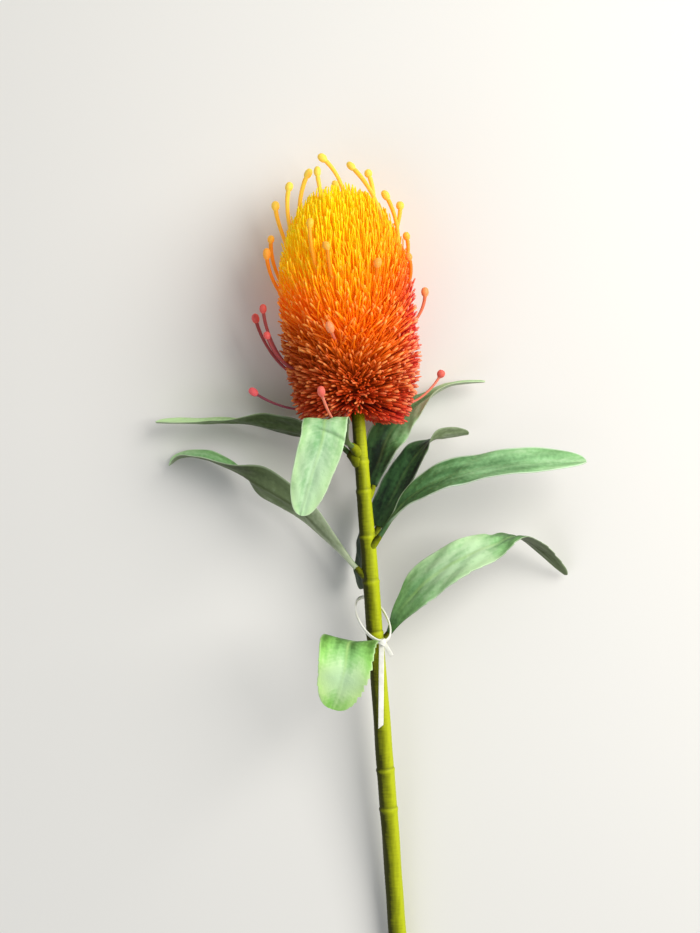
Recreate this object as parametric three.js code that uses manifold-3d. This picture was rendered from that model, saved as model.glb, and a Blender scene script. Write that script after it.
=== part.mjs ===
// A single pincushion protea stem, lying on a table with the side that the viewer sees facing up.
//
// Units are millimetres. The origin is on the table under the middle of the part, +Y runs along the stem
// towards the flower head, +X is to the viewer's right and +Z is up, away from the table.
//
// The flower head is a barrel of needles in three colours, with a few long knobbed styles that stand out
// of it. Its three bands are threaded on a slim spine at the top of the stem. Nine leaves sit on short pegs
// along the stem, and a white tie hangs loosely round it.

import * as THREE from "three";
import { LoftGeometry } from "three/addons/geometries/LoftGeometry.js";
import { mergeVertices } from "three/addons/utils/BufferGeometryUtils.js";
import Module from "manifold-3d";

// Clearance between pieces that rest on or plug into each other
const GAP = 0.3;

// The stem's centre line, from its cut end to the foot of the flower head
const STEM_LINE = [
  [16.7, -204.4, 4.0],
  [11.6, -120, 7.0],
  [5.7, -40, 15.2],
  [1.9, 8, 20.3],
  [-1.8, 55, 24.5],
  [-4.8, 92.5, 26],
];
const STEM_FOOT_RADIUS = 4.0;
const STEM_NECK_RADIUS = 2.8;
const STEM_SIDES = 12;
const STEM_STEPS = 14;
const STEM_SEARCH_STEPS = 600;

// Raised rings on the stem where leaves are, or were: share of the stem's length from the cut end
const STEM_RINGS = [0.451, 0.508, 0.705, 0.778, 0.842, 0.906, 0.947];
const RING_HEIGHT = 0.45;
const RING_HALF_LENGTH = 0.005;

// The flower head's axis, from its foot to its top
const HEAD_FOOT = new THREE.Vector3(-4.8, 92.5, 26);
const HEAD_TOP = new THREE.Vector3(-14.4, 192.5, 26);
const SPINE_RADIUS = 1.8;
const SPINE_TOP = 70;
// The stem's neck goes this far into the head before it narrows to the spine
const SHOULDER = 2.5;
const SHOULDER_LENGTH = 0.1;

// The barrel on which the needle tips end: heights along the head's axis and the radius at its waist
const BARREL_FOOT = -1;
const BARREL_WAIST = 43;
const BARREL_TOP = 100.4;
const BARREL_RADIUS = 28.6;
const FOOT_ROUNDING = 3;
const FOOT_DEPTH = 49.3;
const DOME_ROUNDING = 2.2;

// Needles lean from a little below level at the foot to straight up at the top
const LEAN_AT_FOOT = -18;
const LEAN_AT_TOP = 90;
const LEAN_POWER = 1.5;

// How far the lowest needles hang down on the right and are lifted on the left, and where that ends
const DROOP = 3.5;
const DROOP_HEIGHT = 40;

// Needles stand in rows round the barrel. Each is three-sided, widest at its blunt tip, and comes out of
// the core a needle's length below the tip. Its root is a point much deeper, clear of the spine.
const NEEDLE_ROWS = 24;
const NEEDLE_PITCH = 5.2;
const NEEDLE_LENGTH = 9;
const NEEDLE_RADIUS = 0.9;
const NEEDLE_ROOT_DEPTH = 22;
const NEEDLE_ROOT_CLEARANCE = 3.5;
const OUTLINE_STEPS = 60;
const CORE_SIDES = 14;
const ROWS_PER_CORE_STEP = 3;

// Each band of the head: its colour and the needle rows that it holds
const BANDS = [
  { name: "flower_head_red", color: 0xb8321a, rows: [0, 8] },
  { name: "flower_head_orange", color: 0xf07010, rows: [8, 16] },
  { name: "flower_head_yellow", color: 0xffc400, rows: [16, NEEDLE_ROWS] },
];

// Long styles: azimuth round the head (0 faces up, 90 is to the right), the height at which each leaves
// the barrel, and its knob's height and distance from the axis
const STYLES = [
  [-90, 5, 17.5, 42.3],
  [90, 2, 17.5, 36.2],
  [-22, 3, 13.6, 37],
  [-86, 20, 51.3, 35],
  [-98, 19, 48.3, 39.1],
  [-74, 22, 39.7, 35.4],
  [-14, 34, 39.1, 31.5],
  [88, 38, 52, 32.8],
  [-94, 60, 80.3, 29.1],
  [-86, 55, 73.9, 31.3],
  [-27, 66, 82.3, 26.5],
  [-12, 60, 72.1, 28],
  [28, 58, 63.6, 28.5],
  [78, 54, 66.8, 27.8],
  [92, 64, 76, 27.4],
  [-98, 79, 94.2, 26.1],
  [-84, 84, 100.8, 19.4],
  [-104, 90, 106.3, 11.3],
  [-70, 92, 106, 7.4],
  [70, 86, 106.9, 7.5],
  [106, 92, 104.1, 14.6],
  [76, 84, 93.5, 20.4],
  [94, 79, 89.2, 26.1],
  [90, 100.1, 111.8, -4.4],
  [122, 22, 44, 31],
  [-126, 27, 47, 33],
  [126, 58, 76, 27],
  [-134, 72, 88, 26],
  [146, 82, 97, 18],
  [178, 88, 102, 12],
];
const STYLE_RADIUS = 0.75;
const STYLE_SIDES = 4;
const STYLE_STEPS = 4;
const STYLE_ROOT = 2.5;
const STYLE_BEND_SHARE = 0.6;
const STYLE_BOW = 0.1;
const KNOB_RADIUS = 1.7;

// Leaves: where the midrib runs, from its peg to its tip, the way the upper face looks along it (each list
// is spread evenly from peg to tip, so a leaf that twists quickly has more entries in the second), the half
// width of the blade, the shares of its length between which it swells to that, how blunt its tip is
// (higher is blunter) and how many degrees its two halves fold up
const LEAVES = [
  {
    name: "leaf_1",
    midrib: [
      [-8.4, 80.2, 25], [-15.5, 85.6, 22], [-27.5, 89, 18], [-42, 91.8, 16.5],
      [-57, 93.4, 15], [-74, 93.4, 12], [-91, 94, 9],
    ],
    face: [
      [0.6, 0.5, 0.6], [0.3, 0.85, -0.3], [0.1, 0.9, -0.42], [0, 0.92, -0.4],
      [0, 1, 0], [0, 0.97, 0.22], [0, 0.95, 0.3],
    ],
    halfWidth: 9.5, swell: [0.04, 0.45], tip: 2.6, fold: 12,
  },
  {
    name: "leaf_2",
    midrib: [
      [-7.6, 83.2, 30.5], [-12.4, 86.8, 40], [-16.8, 91.4, 50.5], [-18.2, 93.6, 58.6],
      [-19.4, 85, 62.5], [-24, 70, 59], [-28, 55, 54],
    ],
    face: [
      [0, 0.95, -0.3], [0, 0.92, -0.35], [-0.08, 0.9, 0.1], [-0.12, 0.72, 0.7],
      [-0.04, 0.12, 1], [0, -0.1, 1], [0, -0.2, 1],
    ],
    halfWidth: 9.7, swell: [0.02, 0.4], tip: 8, fold: 0.5,
  },
  {
    name: "leaf_3",
    midrib: [
      [-5.9, 32.6, 22], [-15.4, 42.8, 20], [-29.8, 56.8, 18], [-45.6, 66.8, 17],
      [-57.5, 73.2, 15], [-69.8, 78.4, 12], [-79.2, 79.2, 7.4], [-86, 76, 2.2],
    ],
    face: [
      [0.6, 0.5, -0.6], [0.5, 0.55, -0.65], [0.45, 0.6, -0.65], [0.35, 0.6, -0.62],
      [0.3, 0.95, 0], [0.1, 0.97, 0.2], [-0.1, 0.95, 0.28], [-0.6, 0.6, 0.5],
    ],
    halfWidth: 10.3, swell: [0.02, 0.45], tip: 2.4, fold: 14,
  },
  {
    name: "leaf_4",
    midrib: [
      [1.4, 66.8, 20.8], [4, 76, 15.4], [7.6, 87, 9.4], [15.2, 97, 7.2],
      [24.8, 104.2, 7], [34.6, 109.4, 9], [49.1, 111.2, 10],
    ],
    face: [
      [-0.5, 0.5, 0.7], [-0.55, 0.2, 0.8], [-0.4, 0.15, 0.85], [-0.45, 0.4, 0.75],
      [-0.5, 0.8, 0.3], [-0.25, 0.95, 0.08], [0, 0.97, 0.2],
    ],
    halfWidth: 9.6, swell: [0.02, 0.36], tip: 2.4, fold: 8,
  },
  {
    name: "leaf_5",
    midrib: [
      [3.8, 49.6, 20.4], [8, 58.6, 18], [13, 69, 16.5], [19, 79, 15.5],
      [24.8, 85, 14.5], [32, 88.3, 13.5], [42, 89.2, 12],
    ],
    face: [
      [-0.6, 0.3, 0.7], [-0.7, 0.2, 0.65], [-0.7, 0.25, 0.65], [-0.6, 0.5, 0.6],
      [-0.3, 0.9, 0.1], [-0.1, 0.9, -0.5], [0, 0.85, -0.55],
    ],
    halfWidth: 9.2, swell: [0.02, 0.3], tip: 2, fold: 10,
  },
  {
    name: "leaf_6",
    midrib: [
      [4.2, 46, 26.4], [9.6, 54, 28], [16.5, 62, 30], [28.8, 69.4, 32],
      [45.2, 73.8, 33], [65.9, 76.7, 32], [90, 77.4, 27],
    ],
    face: [
      [-0.3, 0.5, 0.8], [-0.5, 0.6, 0.6], [-0.5, 0.7, 0.55], [-0.3, 0.75, 0.6],
      [-0.1, 0.78, 0.62], [0, 0.78, 0.62], [0, 0.85, 0.5],
    ],
    halfWidth: 9.3, swell: [0.12, 0.5], tip: 14, fold: 9,
  },
  {
    name: "leaf_7",
    midrib: [
      [8.4, 5.4, 17.4], [13.6, 15, 20.8], [23, 26.6, 26.4], [37, 36, 30],
      [52, 42.6, 27], [61.5, 45.6, 21], [73, 39.6, 11.5], [84.6, 28.6, 2.8],
    ],
    face: [
      [-0.5, 0.5, 0.7], [-0.55, 0.47, 0.68], [-0.6, 0.45, 0.65], [-0.5, 0.5, 0.7],
      [-0.42, 0.52, 0.74], [-0.35, 0.56, 0.75], [-0.28, 0.6, 0.75], [-0.2, 0.66, 0.72],
      [-0.05, 0.8, 0.5], [0.15, 0.95, 0.05], [0.35, 0.9, -0.2], [0.5, 0.78, -0.35],
      [0.6, 0.6, -0.5], [0.6, 0.57, -0.53], [0.6, 0.55, -0.55],
    ],
    halfWidth: 10.8, swell: [0.02, 0.32], tip: 2, fold: 3,
  },
  {
    name: "leaf_8",
    midrib: [
      [0.4, 1, 24.8], [-3, 2.4, 38], [-6.6, 4, 50], [-9, 3.8, 59.6],
      [-10.3, -5, 63.4], [-12.6, -14.4, 60.4], [-15.4, -22.6, 56],
    ],
    face: [
      [0, 0.95, -0.1], [0, 0.98, -0.1], [0, 0.95, 0.2], [0, 0.72, 0.7],
      [0, 0.12, 1], [0, -0.1, 1], [0, -0.15, 1],
    ],
    halfWidth: 12, swell: [0.04, 0.42], tip: 5.5, fold: 7,
  },
  {
    name: "leaf_9",
    midrib: [
      [-0.6, 24.6, 16.7], [-4.4, 27.8, 12.4], [-5.2, 34, 10.4], [-3.6, 43, 10],
      [-1.8, 54, 10], [-0.8, 66, 10],
    ],
    face: [
      [-0.9, 0.2, 0.3], [-0.92, 0, 0.35], [-0.95, 0, 0.3], [-0.97, 0, 0.2],
      [-1, 0, 0.1], [-1, 0, 0.1],
    ],
    halfWidth: 8, swell: [0, 0.3], tip: 3, fold: 8,
  },
];
const PETIOLE_RADIUS = 1.2;
const PETIOLE_SHARE = 0.3;
const PEG_LENGTH = 1.8;
const PEG_RADII = [1.7, 1.45, PETIOLE_RADIUS];
const PEG_SIDES = 6;
const BLADE_THICKNESS = 0.7;
const TIP_HALF_WIDTH = 0.3;
const TIP_ROUNDING = 0.6;
const FOLD_POWER = 1.4;
const LEAF_STEPS = 17;
const LEAF_COLUMNS = 4;
// Steps along a leaf are closer together near its tip
const LEAF_STEP_POWER = 1.25;

// Leaf edges wave up and down, and are scalloped a little
const EDGE_WAVES = 3.5;
const EDGE_WAVE_HEIGHT = 0.9;
const EDGE_WAVES_START = [0.15, 0.5];
const EDGE_SCALLOPS = 6.5;
const EDGE_SCALLOP_SHARE = 0.04;

// The tie: a flat strip that loops round the stem, with a knot, a long tail and a short end
const TIE_WIDTH = 2.2;
const TIE_THICKNESS = 0.7;
const TIE_FRONT = new THREE.Vector3(5.2, 1.9, 25.9);
const TIE_BACK = new THREE.Vector3(-2.2, 20.4, 14.6);
const TIE_HALF_WIDTH = 6.7;
const TIE_STEPS = 22;
const TIE_OPENING = 0.06;
const KNOT_RADII = [1.35, 2.25, 1.2];
const TAIL_LINE = [[5.3, 2.4, 25.2], [5.1, -8, 23.6], [4.7, -22, 21.9], [4.2, -35.3, 20.5]];
const SHORT_END_LINE = [[5.6, 1.6, 25.3], [7.4, -1.4, 24.6], [9, -4.2, 23.6]];

const COLORS = { stem: 0x8c9a12, leaf: 0x3f7d4e, tie: 0xf1f1ea };
const ROUGHNESS = { stem: 0.5, head: 0.45, leaf: 0.6, tie: 0.6 };

const MERGE_DISTANCE = 1e-4;
const FULL_TURN = 2 * Math.PI;

const wasm = await Module();
wasm.setup();

const part = new THREE.Group();

function vector(numbers) {
  return new THREE.Vector3(...numbers);
}

// A smooth line through points
function lineThrough(points) {
  return new THREE.CatmullRomCurve3(points.map(vector), false, "catmullrom", 0.5);
}

// The direction at a place in a list of points, from its neighbours
function directionAt(points, i) {
  const before = points[Math.max(i - 1, 0)];
  const after = points[Math.min(i + 1, points.length - 1)];
  return after.clone().sub(before).normalize();
}

// 0 below low, 1 above high, and a smooth rise between
function rise(low, high, x) {
  return THREE.MathUtils.smoothstep(x, low, high);
}

// A closed geometry as a manifold-3d solid
function solidOf(geometry) {
  const bare = new THREE.BufferGeometry().copy(geometry);
  bare.deleteAttribute("normal");
  bare.deleteAttribute("uv");
  const merged = mergeVertices(bare, MERGE_DISTANCE);
  return new wasm.Manifold(
    new wasm.Mesh({
      numProp: 3,
      vertProperties: merged.attributes.position.array,
      triVerts: new Uint32Array(merged.index.array),
    }),
  );
}

// A manifold-3d solid as a three.js geometry
function geometryOf(solid) {
  const mesh = solid.getMesh();
  const geometry = new THREE.BufferGeometry();
  geometry.setAttribute("position", new THREE.BufferAttribute(mesh.vertProperties, 3));
  geometry.setIndex(new THREE.BufferAttribute(mesh.triVerts, 1));
  return geometry;
}

function addPiece(name, geometry, color, roughness) {
  const material = new THREE.MeshStandardMaterial({ color, roughness, metalness: 0, flatShading: true });
  const mesh = new THREE.Mesh(geometry, material);
  mesh.name = name;
  part.add(mesh);
}

// Two directions across a line, the first as near as it can be to the wanted one
function acrossFrom(along, wanted) {
  const first = wanted.clone().addScaledVector(along, -wanted.dot(along)).normalize();
  const second = new THREE.Vector3().crossVectors(along, first);
  return [first, second];
}

// A place beside a point, given by how far it lies along two directions
function beside(point, first, alongFirst, second, alongSecond) {
  return point.clone().addScaledVector(first, alongFirst).addScaledVector(second, alongSecond);
}

// One ring of points round a centre, in the plane of two directions
function ring(centre, [first, second], radius, sides) {
  const points = [];
  for (let k = 0; k < sides; k++) {
    const turn = (k / sides) * FULL_TURN;
    points.push(beside(centre, first, radius * Math.cos(turn), second, radius * Math.sin(turn)));
  }
  return points;
}

// A solid through a list of sections
function loft(sections) {
  return solidOf(new LoftGeometry(sections, { capStart: true, capEnd: true }));
}

// A round rod along a list of centres, with a radius at each
function rod(centres, radii, sides) {
  const up = new THREE.Vector3(0, 0, 1);
  const right = new THREE.Vector3(1, 0, 0);
  return loft(
    centres.map((centre, i) => {
      const along = directionAt(centres, i);
      const isUpright = Math.abs(along.z) > 0.9;
      return ring(centre, acrossFrom(along, isUpright ? right : up), radii[i], sides);
    }),
  );
}

// The head's own frame: height along its axis, and azimuth from straight up towards the right
const headAxis = HEAD_TOP.clone().sub(HEAD_FOOT).normalize();
const [headUp, headRight] = acrossFrom(headAxis, new THREE.Vector3(0, 0, 1));

function headPoint(height, radius, azimuthDegrees) {
  const azimuth = THREE.MathUtils.degToRad(azimuthDegrees);
  const onAxis = HEAD_FOOT.clone().addScaledVector(headAxis, height);
  return beside(onAxis, headUp, radius * Math.cos(azimuth), headRight, radius * Math.sin(azimuth));
}

// Radius of the barrel of needle tips: a squared-off ellipse above the waist, and another below it
function barrelRadius(height) {
  const above = height > BARREL_WAIST;
  const power = above ? DOME_ROUNDING : FOOT_ROUNDING;
  const share = Math.abs(height - BARREL_WAIST) / (above ? BARREL_TOP - BARREL_WAIST : FOOT_DEPTH);
  return BARREL_RADIUS * Math.pow(Math.max(1 - Math.pow(share, power), 0), 1 / power);
}

// How far a needle leans up from level, in radians, where its tip is at this height
function leanAt(height) {
  const share = THREE.MathUtils.clamp((height - BARREL_FOOT) / (BARREL_TOP - BARREL_FOOT), 0, 1);
  const degrees = LEAN_AT_FOOT + (LEAN_AT_TOP - LEAN_AT_FOOT) * Math.pow(share, LEAN_POWER);
  return THREE.MathUtils.degToRad(degrees);
}

// The barrel's outline as a curve of (radius, height), on which rows are spaced evenly
function makeBarrelOutline() {
  const points = [];
  for (let k = 0; k <= OUTLINE_STEPS; k++) {
    const share = Math.sin((k / OUTLINE_STEPS) * (Math.PI / 2));
    const height = THREE.MathUtils.lerp(BARREL_FOOT, BARREL_TOP, share);
    points.push(new THREE.Vector2(barrelRadius(height), height));
  }
  return new THREE.SplineCurve(points);
}

const barrelOutline = makeBarrelOutline();

// Where the needles of a row end, as (radius, height)
function rowTip(row) {
  return barrelOutline.getPointAt(row / NEEDLE_ROWS);
}

// A point this far down a needle from its tip, as (radius, height)
function alongNeedle(tip, depth) {
  const lean = leanAt(tip.y);
  return new THREE.Vector2(tip.x - depth * Math.cos(lean), tip.y - depth * Math.sin(lean));
}

// Where the line of a row's needles, from a point on it, meets the wall of the spine's hole
function atHole(from, row, hole) {
  return new THREE.Vector2(hole, from.y - (from.x - hole) * Math.tan(leanAt(rowTip(row).y)));
}

// The solid core of a band: turned, with its ends along the needles, so that the bands nest in each other
function bandCore([firstRow, lastRow]) {
  const hole = (SPINE_RADIUS + GAP) / Math.cos(Math.PI / CORE_SIDES);
  const steps = Math.ceil((lastRow - firstRow) / ROWS_PER_CORE_STEP);
  const side = [];
  for (let k = 0; k <= steps; k++) {
    const row = THREE.MathUtils.lerp(firstRow, lastRow, k / steps);
    side.push(alongNeedle(rowTip(row), NEEDLE_LENGTH));
  }
  if (firstRow > 0) side[0].y += GAP;
  const innerLow = atHole(side[0], firstRow, hole);
  let profile;
  if (lastRow === NEEDLE_ROWS) {
    side[steps].x = 0;
    const roof = SPINE_TOP + GAP;
    profile = [new THREE.Vector2(0, roof), new THREE.Vector2(hole, roof), innerLow, ...side];
  } else {
    profile = [innerLow, ...side, atHole(side[steps], lastRow, hole), innerLow.clone()];
  }
  const turned = new THREE.LatheGeometry(profile, CORE_SIDES);
  const frame = new THREE.Matrix4().makeBasis(headRight, headAxis, headUp);
  turned.applyMatrix4(frame.setPosition(HEAD_FOOT));
  return solidOf(turned);
}

// Points that would go through the table are lifted onto it, as the needles there are pressed flat
function liftOntoTable(point, radius) {
  return point.setZ(Math.max(point.z, radius));
}

// How much lower than its row a needle's tip is
function droopAt(height, azimuthDegrees) {
  const side = Math.sin(THREE.MathUtils.degToRad(azimuthDegrees));
  return DROOP * side * (1 - rise(0, DROOP_HEIGHT, height));
}

function needle(tip, azimuth) {
  const toSpine = (tip.x - NEEDLE_ROOT_CLEARANCE) / Math.cos(leanAt(tip.y));
  const isBesideSpine = tip.y < SPINE_TOP;
  const root = alongNeedle(tip, isBesideSpine ? Math.min(NEEDLE_ROOT_DEPTH, toSpine) : NEEDLE_ROOT_DEPTH);
  const start = headPoint(root.y, root.x, azimuth);
  const end = headPoint(tip.y - droopAt(tip.y, azimuth), tip.x, azimuth);
  liftOntoTable(end, NEEDLE_RADIUS);
  const across = acrossFrom(end.clone().sub(start).normalize(), headAxis);
  const spike = new THREE.BufferGeometry();
  spike.setFromPoints([start, ...ring(end, across, NEEDLE_RADIUS, 3)]);
  spike.setIndex([0, 2, 1, 0, 3, 2, 0, 1, 3, 1, 2, 3]);
  return solidOf(spike);
}

// Every second row is turned by half a needle's place
function bandNeedles([firstRow, lastRow]) {
  const needles = [];
  for (let row = firstRow; row < lastRow; row++) {
    const tip = rowTip(row + 0.5);
    const count = Math.max(Math.round((FULL_TURN * tip.x) / NEEDLE_PITCH), 3);
    for (let k = 0; k < count; k++) {
      needles.push(needle(tip, ((k + (row % 2) / 2) / count) * 360));
    }
  }
  return needles;
}

// A long style: it leaves the barrel as the needles do, bows out, and ends in a knob
function longStyle([azimuth, leaves, knobHeight, knobRadius]) {
  const mouth = new THREE.Vector2(barrelRadius(leaves), leaves);
  const knobPlace = new THREE.Vector2(knobRadius, knobHeight);
  const root = alongNeedle(mouth, NEEDLE_LENGTH + STYLE_ROOT);
  const bend = mouth.clone().lerp(knobPlace, STYLE_BEND_SHARE);
  bend.x += STYLE_BOW * mouth.distanceTo(knobPlace);
  const guides = [root, mouth, bend, knobPlace].map(({ x, y }) =>
    liftOntoTable(headPoint(y, x, azimuth), KNOB_RADIUS),
  );
  const centres = new THREE.CubicBezierCurve3(...guides).getPoints(STYLE_STEPS);
  const stalk = rod(centres, centres.map(() => STYLE_RADIUS), STYLE_SIDES);
  const knob = new THREE.IcosahedronGeometry(KNOB_RADIUS, 0).translate(...guides[3].toArray());
  return [stalk, solidOf(knob)];
}

function addFlowerHead() {
  for (const { name, color, rows } of BANDS) {
    const [low, high] = rows.map((row) => rowTip(row).y);
    const styles = STYLES.filter(([, leaves]) => leaves >= low && leaves < high);
    const pieces = [bandCore(rows), ...bandNeedles(rows), ...styles.flatMap(longStyle)];
    addPiece(name, geometryOf(wasm.Manifold.union(pieces)), color, ROUGHNESS.head);
  }
}

const stemCurve = lineThrough(STEM_LINE);

// The stem tapers slowly and then, near the head, faster
function stemRadius(share) {
  const body = THREE.MathUtils.lerp(STEM_FOOT_RADIUS, STEM_NECK_RADIUS, (share + share ** 5) / 2);
  const isOnRing = STEM_RINGS.some((at) => Math.abs(at - share) < RING_HALF_LENGTH / 2);
  return body + (isOnRing ? RING_HEIGHT : 0);
}

// The point of the stem's centre line that is nearest to a point
function nearestOnStem(point) {
  const candidates = stemCurve.getSpacedPoints(STEM_SEARCH_STEPS);
  return candidates.reduce((best, candidate) =>
    candidate.distanceTo(point) < best.distanceTo(point) ? candidate : best,
  );
}

// A short peg from inside the stem to just short of the leaf's foot
function leafPeg(leaf) {
  const midrib = lineThrough(leaf.midrib);
  const foot = midrib.getPoint(0);
  const way = midrib.getTangent(0);
  const end = foot.clone().addScaledVector(way, -GAP);
  const shoulder = end.clone().addScaledVector(way, -PEG_LENGTH);
  return rod([nearestOnStem(foot), shoulder, end], PEG_RADII, PEG_SIDES);
}

function addStem() {
  const even = Array.from({ length: STEM_STEPS + 1 }, (_, k) => k / STEM_STEPS);
  const atRings = STEM_RINGS.flatMap((at) => [at - RING_HALF_LENGTH, at, at + RING_HALF_LENGTH]);
  const shares = [...even, ...atRings].sort((a, b) => a - b);
  const centres = shares.map((share) => stemCurve.getPointAt(share));
  const radii = shares.map(stemRadius);
  for (const height of [SHOULDER, SHOULDER + SHOULDER_LENGTH, SPINE_TOP]) {
    centres.push(headPoint(height, 0, 0));
  }
  radii.push(STEM_NECK_RADIUS, SPINE_RADIUS, SPINE_RADIUS);
  const pieces = [rod(centres, radii, STEM_SIDES), ...LEAVES.map(leafPeg)];
  addPiece("stem", geometryOf(wasm.Manifold.union(pieces)), COLORS.stem, ROUGHNESS.stem);
}

// Half width of a leaf at a share of its length: a petiole, a swelling blade and a rounded tip
function leafHalfWidth(leaf, share) {
  const stalk = THREE.MathUtils.lerp(PETIOLE_RADIUS, TIP_HALF_WIDTH, share);
  const swell = rise(...leaf.swell, share);
  const rounded = Math.pow(Math.max(1 - Math.pow(share, leaf.tip), 0), TIP_ROUNDING);
  const scallop = 1 + EDGE_SCALLOP_SHARE * Math.sin(EDGE_SCALLOPS * FULL_TURN * share + leaf.halfWidth);
  return stalk + (leaf.halfWidth - PETIOLE_RADIUS) * swell * rounded * scallop;
}

// How far the blade's middle layer lies above the midrib: its halves fold up and its edges wave
function leafRise(leaf, share, across, halfWidth) {
  const fold = Math.abs(across) ** FOLD_POWER * Math.sin(THREE.MathUtils.degToRad(leaf.fold));
  const phase = EDGE_WAVES * FULL_TURN * share + across + leaf.halfWidth;
  const wave = EDGE_WAVE_HEIGHT * across ** 2 * Math.sin(phase) * rise(...EDGE_WAVES_START, share);
  return fold * halfWidth + (wave * halfWidth) / leaf.halfWidth;
}

// Half thickness of a leaf: round at its petiole and thin in its blade
function leafHalfThickness(share, across) {
  const round = (1 - rise(0, PETIOLE_SHARE, share)) * (1 - across ** 2);
  return THREE.MathUtils.lerp(BLADE_THICKNESS / 2, PETIOLE_RADIUS, round);
}

// One row of points across a leaf, on its upper and on its lower face
function leafRow(leaf, midrib, face, share) {
  const along = midrib.getTangent(share);
  const [up, side] = acrossFrom(along, face.getPoint(share));
  const halfWidth = leafHalfWidth(leaf, share);
  const places = Array.from({ length: LEAF_COLUMNS + 1 }, (_, j) => (2 * j) / LEAF_COLUMNS - 1);
  const middle = places.map((across) =>
    beside(midrib.getPoint(share), side, across * halfWidth, up, leafRise(leaf, share, across, halfWidth)),
  );
  const outward = middle.map((_, j) => {
    const sideways = directionAt(middle, j);
    return new THREE.Vector3().crossVectors(sideways, along).normalize();
  });
  const layer = (sign) =>
    middle.map((point, j) =>
      point.clone().addScaledVector(outward[j], sign * leafHalfThickness(share, places[j])),
    );
  return { upper: layer(1), lower: layer(-1) };
}

// A leaf: a folded, waved blade with a petiole, split into triangles alike on both faces
function leafGeometry(leaf) {
  const midrib = lineThrough(leaf.midrib);
  const face = lineThrough(leaf.face);
  const rows = Array.from({ length: LEAF_STEPS + 1 }, (_, i) =>
    leafRow(leaf, midrib, face, 1 - (1 - i / LEAF_STEPS) ** LEAF_STEP_POWER),
  );
  const points = [...rows.flatMap(({ upper }) => upper), ...rows.flatMap(({ lower }) => lower)];
  const columns = LEAF_COLUMNS + 1;
  const under = points.length / 2;
  const faces = [];
  const quad = (a, b, c, d) => faces.push(a, b, c, a, c, d);
  for (let i = 0; i < LEAF_STEPS; i++) {
    const left = i * columns;
    const right = left + LEAF_COLUMNS;
    for (let a = left; a < right; a++) {
      quad(a, a + 1, a + columns + 1, a + columns);
      faces.push(under + a, under + a + columns + 1, under + a + 1);
      faces.push(under + a, under + a + columns, under + a + columns + 1);
    }
    quad(left, left + columns, under + left + columns, under + left);
    quad(right, under + right, under + right + columns, right + columns);
  }
  for (let j = 0; j < LEAF_COLUMNS; j++) {
    const last = LEAF_STEPS * columns + j;
    quad(j, under + j, under + j + 1, j + 1);
    quad(last, last + 1, under + last + 1, under + last);
  }
  const geometry = new THREE.BufferGeometry().setFromPoints(points);
  geometry.setIndex(faces);
  return geometry;
}

// A flat strip along a list of centres, its width as near as it can be to the wanted direction
function strip(centres, wanted) {
  const corners = [[1, 1], [-1, 1], [-1, -1], [1, -1]];
  return loft(
    centres.map((centre, i) => {
      const [first, second] = acrossFrom(directionAt(centres, i), wanted);
      return corners.map(([a, b]) =>
        beside(centre, first, (a * TIE_WIDTH) / 2, second, (b * TIE_THICKNESS) / 2),
      );
    }),
  );
}

// The tie's loop: an open ring whose two ends meet in the knot
function tieLoop(right) {
  const middle = TIE_FRONT.clone().lerp(TIE_BACK, 0.5);
  const towardsFront = TIE_FRONT.clone().sub(middle);
  const centres = Array.from({ length: TIE_STEPS + 1 }, (_, k) => {
    const turn = THREE.MathUtils.lerp(TIE_OPENING, FULL_TURN - TIE_OPENING, k / TIE_STEPS);
    return beside(middle, towardsFront, Math.cos(turn), right, TIE_HALF_WIDTH * Math.sin(turn));
  });
  return strip(centres, new THREE.Vector3().crossVectors(right, towardsFront).normalize());
}

function addTie() {
  const right = new THREE.Vector3(1, 0, 0);
  const knot = new THREE.IcosahedronGeometry(1, 1).scale(...KNOT_RADII);
  knot.translate(...TIE_FRONT.toArray());
  const pieces = [
    tieLoop(right),
    strip(TAIL_LINE.map(vector), right),
    strip(SHORT_END_LINE.map(vector), right),
    solidOf(knot),
  ];
  addPiece("tie", geometryOf(wasm.Manifold.union(pieces)), COLORS.tie, ROUGHNESS.tie);
}

addStem();
addFlowerHead();
for (const leaf of LEAVES) addPiece(leaf.name, leafGeometry(leaf), COLORS.leaf, ROUGHNESS.leaf);
addTie();

export default part;
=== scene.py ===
"""Dresses an artificial pincushion protea stem that lies on a pale surface, seen from straight above.

Sizes are in millimetres until a mesh is made, and metres in Blender. +Y runs along the stem towards the
flower head, +X is to the right and +Z is up, away from the surface.
"""

from math import comb

import bpy
import numpy as np
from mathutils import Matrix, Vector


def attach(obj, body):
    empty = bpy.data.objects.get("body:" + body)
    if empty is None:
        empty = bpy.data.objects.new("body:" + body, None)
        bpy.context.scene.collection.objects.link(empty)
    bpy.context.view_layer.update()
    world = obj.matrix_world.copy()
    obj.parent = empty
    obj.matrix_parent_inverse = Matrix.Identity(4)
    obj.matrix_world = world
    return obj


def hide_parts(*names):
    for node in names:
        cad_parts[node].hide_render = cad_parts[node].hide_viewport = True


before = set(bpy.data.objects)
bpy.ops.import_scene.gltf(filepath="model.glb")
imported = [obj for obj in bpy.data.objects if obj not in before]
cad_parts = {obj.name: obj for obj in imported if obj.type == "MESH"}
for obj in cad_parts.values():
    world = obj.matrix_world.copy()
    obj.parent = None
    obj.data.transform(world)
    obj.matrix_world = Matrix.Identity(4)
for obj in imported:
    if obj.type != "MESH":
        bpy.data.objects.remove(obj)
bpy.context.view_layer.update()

bl_info = {
    "name": "Pincushion Protea Stem",
    "version": (1, 0, 0),
    "blender": (4, 5, 0),
    "location": "View3D > Sidebar > Protea",
    "description": "Builds the looks of an artificial pincushion protea stem",
    "category": "Add Mesh",
}

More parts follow.
